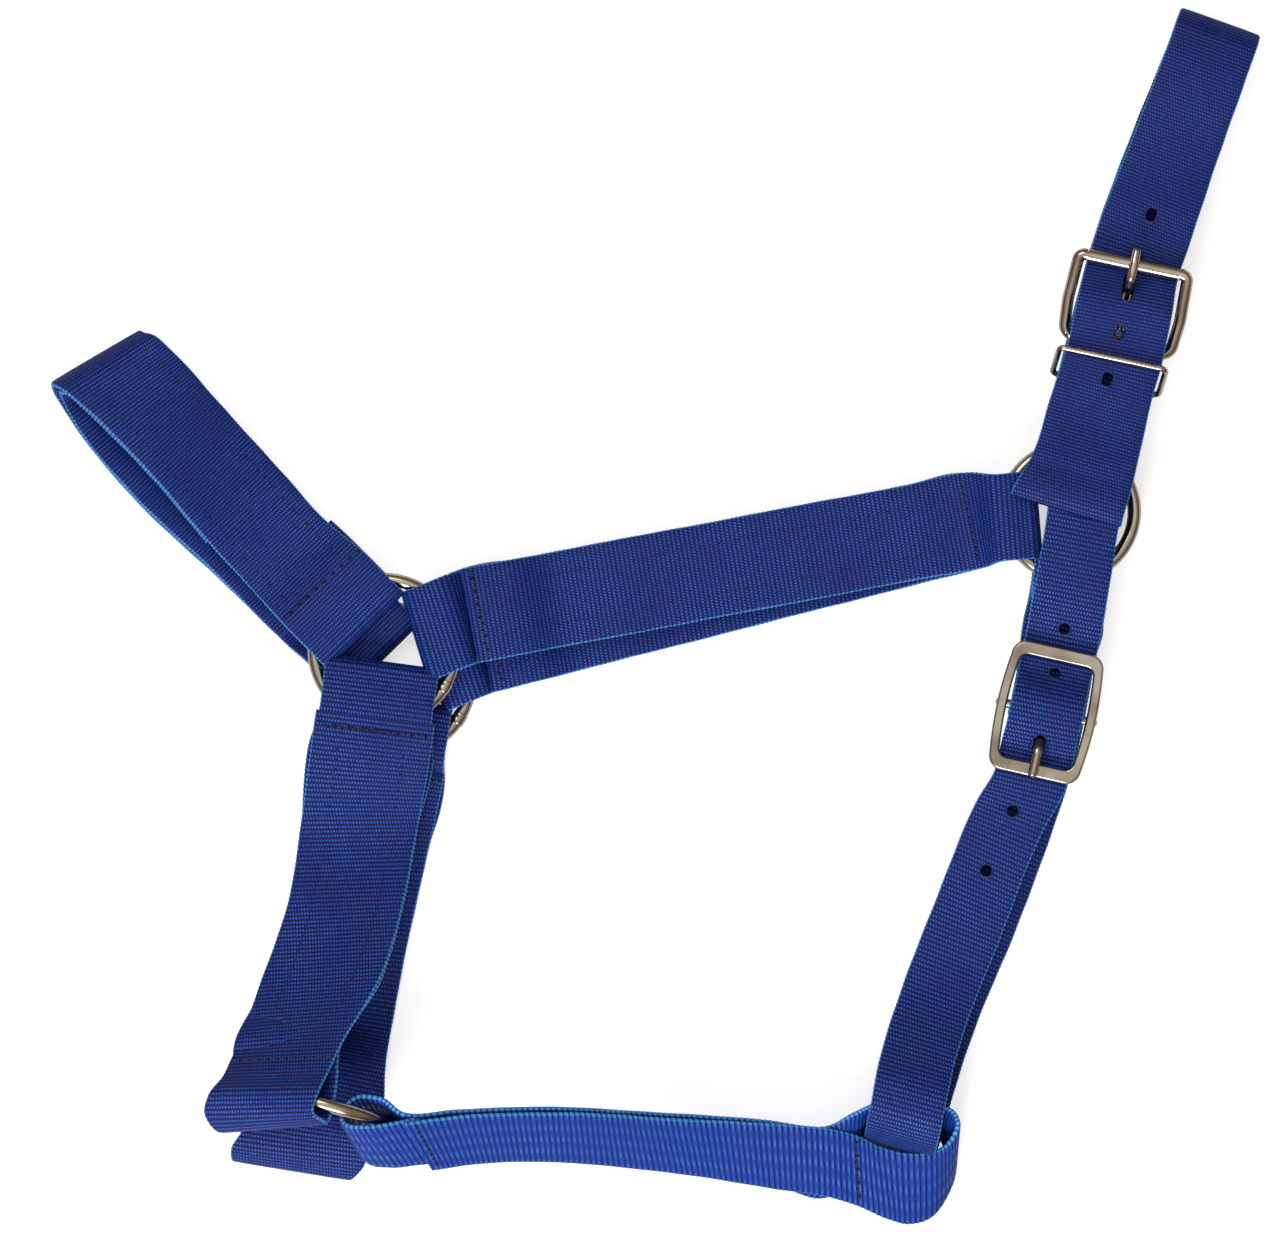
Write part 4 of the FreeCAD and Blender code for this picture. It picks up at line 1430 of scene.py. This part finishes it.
@dataclass
class Connector(StrapKit):
    """Ribbed web from the chin ring to the throat strap, its upper edge raised all the way."""

    width: float = Plan.CONNECTOR_WEB

    def build(self) -> None:
        """Builds the web and its stitching."""
        plan = self.plan
        spine = plan.rows([
            (-84.0, -165.6, 47.4, -75.3, -181.2, 28.8),
            (-66.0, -164.6, 45.5, -61.0, -180.6, 26.5),
            (-34.0, -164.0, 38.0, -32.3, -180.5, 18.7),
            (4.0, -166.3, 27.0, 8.0, -185.0, 10.3),
            (36.0, -168.5, 22.0, 38.0, -190.0, 8.5),
            (57.0, -170.5, 19.0, 58.0, -193.5, 8.2),
        ])
        ring_eye = plan.rows([
            (-77.0, -166.6, 45.8, -68.0, -181.8, 27.2),
            (-87.0, -168.6, 49.0, -78.5, -182.8, 28.6),
            (-97.5, -169.9, 50.2, -88.5, -183.6, 29.0),
            (-102.8, -169.2, 49.6, -95.5, -182.4, 27.0),
            (-104.4, -167.2, 48.8, -98.8, -178.6, 24.8),
            (-103.4, -163.8, 48.2, -98.2, -173.6, 23.6),
            (-99.8, -160.4, 48.0, -93.8, -170.6, 23.2),
            (-92.5, -160.4, 47.6, -86.0, -171.6, 24.0),
        ])
        loop = plan.rows([
            (66.3, -173.7, 19.0, 67.7, -197.8, 8.0),
            (74.3, -177.7, 17.5, 77.0, -201.8, 6.5),
            (83.0, -179.9, 17.0, 84.0, -203.4, 5.0),
            (91.7, -179.2, 18.0, 92.0, -200.5, 4.0),
            (97.2, -175.5, 21.0, 97.5, -191.5, 2.5),
            (99.8, -170.3, 24.0, 98.6, -186.0, 1.6),
            (98.5, -165.8, 25.2, 96.0, -178.5, 1.8),
            (92.0, -163.6, 26.0, 91.0, -166.5, 2.9),
            (83.0, -162.6, 26.2, 82.0, -165.5, 3.3),
            (73.0, -163.2, 26.0, 72.0, -168.0, 3.4),
            (66.0, -166.0, 24.0, 64.5, -182.0, 4.8),
        ])
        rises = [PITCH * 1.9, PITCH * 1.15] + [PITCH] * (len(spine) - 2)
        sections = stacked(spine, rises) + loop + spine[::-1] + ring_eye[::-1]
        strip = Strip("throat_connector_strap_web", sections, row_pitch=Finishes.RIB_ROW, bead=0.3)
        strip.build(self.finishes.ribbed, Body.HALTER, Slot.RIBBED, "throat_connector_strap")
        half = self.width / 2
        seam = strip.distance_at(plan.point(66.5, -185.5, 0), 60, 200)
        self.sew(strip, [
            self.row_across(seam, half - 1.5, pitch=2.6, thread=0.4, zigzag=0.3),
            self.row_across(3.0, half - 1.5, pitch=2.6, thread=0.4),
        ])


@dataclass(frozen=True)
class Punch:
    """A punched hole in a strap: distance along it, length and width in millimetres."""

    distance: float
    length: float = 4.2
    width: float = 4.2


@dataclass
class Puncher:
    """Cuts holes through a strap and lines each with a melted rim."""

    strip: Strip
    web: Object
    sides: int = 20

    def _outline(self, punch: Punch, grow: float) -> List[np.ndarray]:
        """Works out the outline of a hole on the strap's middle surface.

        Args:
            punch: The hole.
            grow: How far outside the hole the outline runs.

        Returns:
            The places round the hole.
        """
        straight = max(0.0, (punch.length - punch.width) / 2)
        radius = punch.width / 2 + grow
        centre, normal = self.strip.surface(punch.distance, 0.0)
        centre = centre - normal * (self.strip.thickness / 2)
        ahead, _ = self.strip.surface(punch.distance + 0.5, 0.0)
        along = unit(ahead - centre - normal * (self.strip.thickness / 2))
        across = np.cross(normal, along)
        places = []
        for index in range(self.sides):
            angle = 2 * math.pi * (index + 0.5) / self.sides
            reach = (straight if math.cos(angle) > 0 else -straight) + radius * math.cos(angle)
            places.append(centre + along * reach + across * (radius * math.sin(angle)))
        return places

    def cut(self, punches: Sequence[Punch], rim: Material, body: Body, depth: float = 1.6) -> None:
        """Cuts the holes and adds the rims.

        Args:
            punches: Holes to cut.
            rim: Finish of the rims.
            body: Body that the rims ride on.
            depth: How far each side of the middle surface a cutter reaches.
        """
        verts: List[np.ndarray] = []
        faces: List[List[int]] = []
        rim_verts: List[np.ndarray] = []
        rim_faces: List[List[int]] = []
        for punch in punches:
            _, normal = self.strip.surface(punch.distance, 0.0)
            base = len(verts)
            outline = self._outline(punch, 0.0)
            for rise in (-depth, depth):
                verts += [place + normal * rise for place in outline]
            faces += tube_faces(base, 2, self.sides)
            faces.append([base + index for index in reversed(range(self.sides))])
            faces.append([base + self.sides + index for index in range(self.sides)])
            self._rim(punch, normal, rim_verts, rim_faces)
        cutter = mesh_object(self.web.name + "_cutter", verts, faces, smooth=False)
        modifier = self.web.modifiers.new("holes", "BOOLEAN")
        modifier.operation = "DIFFERENCE"
        modifier.solver = "MANIFOLD"
        modifier.object = cutter
        depsgraph = bpy.context.evaluated_depsgraph_get()
        mesh = bpy.data.meshes.new_from_object(self.web.evaluated_get(depsgraph))
        self.web.modifiers.clear()
        self.web.data = mesh
        bpy.data.objects.remove(cutter)
        rims = mesh_object(self.web.name + "_hole_rims", rim_verts, rim_faces, rim)
        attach(rims, body.value)

    def _rim(self, punch: Punch, normal: np.ndarray, verts: List[np.ndarray], faces: List[List[int]]) -> None:
        """Adds the melted lining of one hole.

        Args:
            punch: The hole.
            normal: Direction square to the strap at the hole.
            verts: Vertices so far.
            faces: Faces so far.
        """
        half = self.strip.thickness / 2
        upper = [(0.55, half - 0.25), (0.35, half + 0.12), (0.05, half + 0.10), (-0.12, half - 0.4)]
        profile = upper + [(grow, -rise) for grow, rise in reversed(upper)]
        faces += tube_faces(len(verts), len(profile), self.sides, closed=True)
        for grow, rise in profile:
            verts += [place + normal * rise for place in self._outline(punch, grow)]


@dataclass
class CrownStrap(StrapKit):
    """Crown strap: far top ring, over the poll, through the buckle and the keeper, tail over the ring."""

    width: float = Plan.CROWN_WEB

    def build(self) -> None:
        """Builds the web, its holes and its stitching."""
        plan = self.plan
        turn, side, low = left_of(plan.CROWN_TOP), left_of(plan.BUCKLE_TURN), left_of(plan.CROWN_OUT - 1.0)
        buckle, top = heading(plan.BUCKLE_TURN), heading(plan.CROWN_TOP)
        flat_width = self.width
        over, under, far = plan.over_heel, plan.under_roller, plan.LOW_FAR
        radius = (under - far) / 2
        fold_place = plan.point(187.7, 197.0, 0.0)
        middle = at_height(fold_place - top * (radius + PLY / 2), far + radius)
        tail = plan.over_ring + PLY + SOFT_GAP
        exit_place, entry = plan.roller + top * 6.0, plan.roller - buckle * 2.0
        sections = [
            Section(plan.crown_point(7.0, tail - 2.3) + low * 1.2, low, flat_width + 4),
            Section(plan.crown_point(2.2, tail - 2.1) + low * 1.5, low, flat_width + 5.5),
            Section(plan.crown_point(0.3, tail - 1.1) + low * 1.6, low, flat_width + 6),
            Section(plan.crown_point(1.4, tail) + low * 1.6, low, flat_width + 6),
            Section(plan.crown_point(14.0, tail), low, flat_width + 3),
            Section(plan.crown_point(34.0, over), low, flat_width + 1),
            Section(plan.crown_point(46.0, over), low, flat_width),
            Section(at_height(plan.heel - buckle * 4.0, over), side, flat_width),
            Section(at_height(plan.heel + buckle * 3.5, over), side, flat_width),
            Section(at_height(plan.heel + buckle * 13.5, over + 0.2), side, flat_width),
            Section(at_height(entry, under), side, flat_width - 1.5),
            Section(at_height(exit_place, under), turn, flat_width - 1.5),
            Section(at_height(plan.roller + top * 35.0, under - 1.0), turn, flat_width - 2.5),
            Section(at_height(middle, under), turn, flat_width - 4.0),
        ]
        sections += fold(middle, top, turn, radius, flat_width - 4.0)
        sections += [
            Section(at_height(middle, far), turn, flat_width - 4.0),
            Section(at_height(exit_place, far), turn, flat_width - 1.5),
            Section(plan.crown_point(45.0, far), left_of(plan.CROWN_OUT), flat_width),
            Section(plan.crown_point(31.0, far), left_of(plan.CROWN_OUT), flat_width - 1.0),
        ]
        sections += plan.far_top.eye(plan.CROWN_OUT, 28.0, left_of(plan.CROWN_OUT))[::-1]
        sections.append(Section(plan.crown_point(34.0, far + PITCH), left_of(plan.CROWN_OUT), flat_width - 1.0))
        sections.append(Section(plan.crown_point(62.0, far + PITCH), left_of(plan.CROWN_OUT), flat_width - 1.0))
        strip = Strip("crown_strap_web", sections, row_pitch=Finishes.CROWN_ROW)
        web = strip.build(self.finishes.crown, Body.CROWN, Slot.WEBBING, "crown_strap")
        places = ((148.0, 78.0), (151.8, 93.2), (159.3, 118.3), (164.0, 132.3))
        punches = [Punch(strip.distance_at(plan.point(*place, 0), 0, 200), 4.8, 3.6) for place in places]
        punches.insert(2, Punch(strip.distance_at(plan.heel + buckle * 19.5, 0, 200), 11.0, 4.2))
        Puncher(strip, web).cut(punches, self.finishes.rim, Body.CROWN)
        half = flat_width / 2
        seam = strip.distance_at(plan.crown_point(45.0, 0), strip.length * 0.55, strip.length)
        tail_seam = 14.5
        self.sew(strip, [
            self.row_across(seam, half - 2, pitch=2.6, thread=0.4),
            self.row_across(tail_seam, half, pitch=3.0, thread=0.24, proud=-0.05),
        ], Body.CROWN)


def bar_eye(bar: np.ndarray, angle: float, wire: float, width: float, out: float) -> List[Section]:
    """Returns the sections of a chape round a buckle bar, upper side first.

    The chape leaves in the direction opposite to the heading.

    Args:
        bar: Middle of the bar.
        angle: Heading from the chape to the bar.
        wire: Radius of the bar.
        width: Width of the web.
        out: How far the layers run on before the bar.

    Returns:
        The sections.
    """
    bend = wire + SOFT_GAP + PLY / 2
    rows = [(-out, bend)] + half_turn(bend, 90, -1) + [(-out, -bend)]
    return [Section(bar + heading(angle) * reach + UP * rise, left_of(angle), width) for reach, rise in rows]


@dataclass
class BuckleChapes(StrapKit):
    """Folded webs that hold the two buckles to the near top ring."""

    def build(self) -> None:
        """Builds both chapes."""
        self._crown()
        self._throat()

    def _crown(self) -> None:
        """Builds the crown buckle's chape."""
        plan = self.plan
        across = left_of(plan.CROWN_OUT)
        width = plan.CROWN_WEB
        bar = bar_eye(plan.heel, plan.BUCKLE_TURN, 2.0, width - 4.6, 1.5)
        ring = plan.near_top.eye(plan.CROWN_OUT, 28.0, across)
        low = plan.near_z - PITCH
        spine = [Section(plan.crown_point(reach, low), across, width - 1.5) for reach in (31.5, 38.0, 48.0)]
        over = [section.lifted(PITCH) for section in spine]
        sections = over + bar + spine[::-1] + ring[::-1] + [spine[0].lifted(PITCH * 2)]
        strip = Strip("crown_buckle_chape_web", sections, Finishes.CHEEK_ROW)
        web = strip.build(self.finishes.cheek, Body.CROWN, Slot.WEBBING, "crown_buckle_chape")
        middle = strip.distance_at(plan.heel + heading(plan.BUCKLE_TURN) * 3.5, 0, 60)
        Puncher(strip, web).cut([Punch(middle, 12.5, 4.6)], self.finishes.rim, Body.CROWN, 3.4)
        seam = strip.distance_at(plan.crown_point(38.0, 0), 0, 40)
        self.sew(strip, [self.row_across(seam, 13.0, pitch=2.6, thread=0.4)], Body.CROWN)

    def _throat(self) -> None:
        """Builds the throat buckle's chape."""
        plan = self.plan
        width = plan.THROAT_WEB
        run = heading(plan.THROAT_RUN)
        across = left_of(plan.THROAT_RUN)
        ring = plan.near_top.eye(plan.THROAT_OUT, 20.0, left_of(plan.THROAT_OUT))
        bar = bar_eye(plan.throat_bar, plan.THROAT_RUN, 1.5, width, 1.0)
        spine = []
        for reach in (33.0, 20.0, 9.0):
            point = at_height(plan.throat_bar - run * reach, plan.chape_z - PITCH / 2)
            spine.append(Section(point, across, width))
        over = [section.lifted(PITCH) for section in spine]
        sections = over + bar + spine[::-1] + ring[::-1] + [over[0].lifted(PITCH)]
        strip = Strip("throat_buckle_chape_web", sections, Finishes.CHEEK_ROW)
        web = strip.build(self.finishes.cheek, Body.HALTER, Slot.WEBBING, "throat_buckle_chape")
        middle = strip.distance_at(plan.throat_bar + run * 3.0, 0, 60)
        Puncher(strip, web).cut([Punch(middle, 10.0, 4.6)], self.finishes.rim, Body.HALTER, 3.0)
        seam = strip.distance_at(plan.throat_bar - run * 22.0, 0, 40)
        self.sew(strip, [self.row_across(seam, 10.5, pitch=2.6, thread=0.4)])


@dataclass
class ThroatStrap(StrapKit):
    """Throat strap: far top ring, fold in the connector's loop, throat buckle, tip over the ring."""

    width: float = Plan.THROAT_WEB

    def build(self) -> None:
        """Builds the web, its holes and its stitching."""
        plan = self.plan
        run = heading(plan.THROAT_RUN)
        across = left_of(plan.THROAT_RUN)
        width = self.width

        def by_bar(reach: float, z: float) -> Section:
            """Returns a section at a distance before the buckle's bar."""
            return Section(at_height(plan.throat_bar - run * reach, z), across, width)

        def lay(*place: float) -> Section:
            """Returns a section from its X, Y, Z and heading."""
            return plan.lying(*place, width)

        under, over, far = plan.under_bar, plan.over_bar, plan.LOW_FAR
        out = plan.THROAT_RUN
        sections = [
            lay(142.5, 38.0, plan.over_ring, out), lay(137.9, 9.0, plan.over_ring, out),
            by_bar(21.0, under), by_bar(15.4, under), by_bar(3.0, over), by_bar(-3.0, over),
            by_bar(-15.4, under), by_bar(-21.0, under),
            lay(117.0, -68.0, under - 1.0, 249.0), lay(102.5, -104.0, under - 2.0, 248.0),
            lay(93.0, -128.0, under + 1.0, 250.0), lay(86.5, -148.0, 24.0, 253.0), lay(83.8, -160.0, 28.4, 254.0),
            lay(82.6, -166.5, 28.6, 254.0), lay(81.7, -171.0, 25.8, 254.0), lay(80.9, -175.4, 20.0, 254.0),
            lay(80.4, -178.0, 12.5, 254.0), lay(80.6, -178.6, 6.5, 254.0), lay(82.2, -174.0, 2.2, 254.0),
            lay(87.5, -155.0, far, 253.0), lay(97.0, -128.0, far, 250.0), lay(107.0, -104.0, far, 248.0),
            lay(120.5, -68.0, far, 249.0), lay(130.5, -33.0, far, out), lay(134.0, -5.0, far, out),
        ]
        sections += plan.far_top.eye(plan.THROAT_OUT, 20.0, left_of(plan.THROAT_OUT))[::-1]
        sections += [lay(134.0, -5.0, far + PITCH, out), lay(130.5, -33.0, far + PITCH, out)]
        strip = Strip("throat_strap_web", sections, row_pitch=1.5)
        web = strip.build(self.finishes.cheek, Body.HALTER, Slot.WEBBING, "throat_strap")
        places = ((135.0, -5.0), (133.3, -20.3), (118.3, -65.7), (110.7, -86.0))
        punches = [Punch(strip.distance_at(plan.point(*place, 0), 0, 160), 4.0, 4.0) for place in places]
        punches.append(Punch(strip.distance_at(plan.throat_bar + run * 10.8, 0, 160), 7.5, 4.2))
        Puncher(strip, web).cut(punches, self.finishes.rim, Body.HALTER)
        seam = strip.distance_at(plan.point(132.0, -20.0, 0), strip.length * 0.6, strip.length)
        self.sew(strip, [self.row_across(seam, width / 2 - 2, pitch=2.6, thread=0.4, side=-1.0)])


# ------------------------------------------------------------------ metal

@dataclass
class Hardware:
    """Nickel rings and buckles: the frame's own nodes with better finishes, and weld collars on the rings."""

    finishes: Finishes
    wires: Tuple[str, ...] = (
        "near_nose_ring", "far_nose_ring", "near_top_ring", "far_top_ring", "chin_ring",
        "crown_buckle_frame", "crown_buckle_roller", "crown_buckle_tongue", "crown_keeper",
    )
    castings: Tuple[str, ...] = ("throat_buckle_frame", "throat_buckle_tongue")
    welds: Tuple[Tuple[str, float], ...] = (
        ("near_nose_ring", -31.0), ("far_nose_ring", -33.0), ("near_top_ring", 165.0), ("far_top_ring", 150.0),
    )

    def build(self, frame: Dict) -> None:
        """Dresses the nodes and adds the weld collars.
        """
        for names, material in ((self.wires, self.finishes.wire), (self.castings, self.finishes.casting)):
            for name in names:
                node = frame["nodes"][name]
                node.data.shade_smooth()
                if not node.data.materials:
                    node.data.materials.append(material)
                for slot_ in node.material_slots:
                    slot_.material = material
                LOG.info("metal %s", name)
        for ring, angle in self.welds:
            self._weld(ring, angle)

    def _weld(self, ring: str, angle: float) -> None:
        """Adds the raised butt weld of a ring.

        Args:
            ring: Node and body of the ring.
            angle: Place round the ring in degrees.
        """
        fit = RingFit.of(ring)
        rings, sides, reach, swell_by, sunk = 14, 20, 5.0, 0.28, 0.02
        verts = []
        for row in range(rings + 1):
            share = row / rings * 2 - 1
            turn = math.radians(angle + share * reach)
            away = np.array([math.cos(turn), math.sin(turn), 0.0])
            groove = 1 - 0.35 * math.exp(-(share * 5) ** 2)
            swell = fit.wire + swell_by * max(0.0, 1 - share ** 6) * groove - sunk
            for side in range(sides):
                roll = 2 * math.pi * side / sides
                out = fit.radius + swell * math.cos(roll)
                verts.append(fit.centre + away * out + UP * (swell * math.sin(roll)))
        faces = tube_faces(0, rings + 1, sides)
        faces.append(list(reversed(range(sides))))
        faces.append([rings * sides + side for side in range(sides)])
        obj = mesh_object(ring + "_weld", verts, faces, self.finishes.wire)
        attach(obj, ring)


# ------------------------------------------------------------------ stage

@dataclass(frozen=True)
class Studio:
    """White floor, soft lamps and a camera that looks straight down."""

    view_x: float = -8.2
    view_y: float = -3.1
    distance: float = 6000.0
    lens: float = 506.2
    floor_size: float = 6000.0
    floor_drop: float = 0.2

    LAMPS = (("key", (-0.35, -1.35, 1.0), 0.8, 19.0), ("fill", (-0.5, 0.9, 1.5), 1.0, 8.0))
    FLOOR_SHADE = 0.82
    FLOOR_GLOW = 0.62
    WALL = (0.07, 0.05, 0.035, 1.0)
    CEILING = (0.36, 0.30, 0.25, 1.0)
    ZENITH = (0.85, 0.84, 0.83, 1.0)

    def build(self) -> None:
        """Builds the stage."""
        scene = bpy.context.scene
        scene.view_settings.view_transform = "Standard"
        self._floor()
        self._world(scene)
        for lamp in self.LAMPS:
            self._lamp(*lamp)
        camera = bpy.data.cameras.new("camera")
        camera.lens = self.lens
        camera.sensor_width = 36.0
        camera.clip_end = 20.0
        holder = bpy.data.objects.new("camera", camera)
        holder.location = (self.view_x * MM, self.view_y * MM, self.distance * MM)
        bpy.context.collection.objects.link(holder)
        scene.camera = holder

    def _floor(self) -> None:
        """Builds the floor, white for the camera and with the halter's shadow kept."""
        half, low = self.floor_size / 2, -self.floor_drop
        corners = [(-half, -half, low), (half, -half, low), (half, half, low), (-half, half, low)]
        material, graph, shader = blank("floor_finish")
        floor = mesh_object("floor", corners, [[0, 1, 2, 3]], material, smooth=False)
        shader.inputs["Base Color"].default_value = (self.FLOOR_SHADE,) * 3 + (1.0,)
        shader.inputs["Roughness"].default_value = 0.9
        path = graph.add("ShaderNodeLightPath")
        seen = path.outputs["Is Camera Ray"]
        shader.inputs["Emission Color"].default_value = (1.0, 1.0, 1.0, 1.0)
        graph.feed(shader.inputs["Emission Strength"], graph.math("MULTIPLY", seen, self.FLOOR_GLOW))

    def _world(self, scene: Scene) -> None:
        """Builds the surroundings: bright overhead, darker and warmer towards the walls.

        Args:
            scene: Scene that they belong to.
        """
        world = bpy.data.worlds.new("studio")
        scene.world = world
        world.use_nodes = True
        graph = Graph(world.node_tree)
        background = world.node_tree.nodes["Background"]
        direction = graph.add("ShaderNodeTexCoord").outputs["Generated"]
        place = graph.add("ShaderNodeSeparateXYZ")
        graph.feed(place.inputs[0], direction)
        wall = graph.span(place.outputs[2], 0.25, 0.6)
        sky = graph.mix(wall, self.WALL, self.CEILING)
        sky = graph.mix(graph.span(place.outputs[2], 0.8, 0.95), sky, self.ZENITH)
        seen = graph.add("ShaderNodeLightPath").outputs["Is Camera Ray"]
        graph.feed(background.inputs["Color"], graph.mix(seen, sky, (1.0, 1.0, 1.0, 1.0)))
        background.inputs["Strength"].default_value = 1.0

    @staticmethod
    def _lamp(name: str, place: Tuple[float, float, float], size: float, power: float) -> None:
        """Adds a soft square lamp that points at the halter.

        Args:
            name: Name of the lamp.
            place: Where it hangs, in metres.
            size: Side of the lamp in metres.
            power: Power in watts.
        """
        light = bpy.data.lights.new(name, "AREA")
        light.shape = "SQUARE"
        light.size = size
        light.energy = power
        lamp = bpy.data.objects.new(name, light)
        lamp.location = place
        lamp.rotation_euler = (-Vector(place)).to_track_quat("-Z", "Y").to_euler()
        bpy.context.collection.objects.link(lamp)


def main() -> None:
    """Builds the halter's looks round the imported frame."""
    logging.basicConfig(level=logging.INFO, format="%(name)s: %(message)s")
    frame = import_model()
    plan = Plan()
    finishes = Finishes()
    Studio().build()
    kit = (plan, finishes)
    straps = (
        Noseband(*kit), CheekStrap(*kit), CheekStrap(*kit, name="far_cheek_strap", near=False, sag=0.0),
        ChinStraps(*kit), Connector(*kit), ThroatStrap(*kit), BuckleChapes(*kit), CrownStrap(*kit),
    )
    for strap in straps:
        strap.build()
    Hardware(finishes).build(frame)


if __name__ == "__main__":
    main()
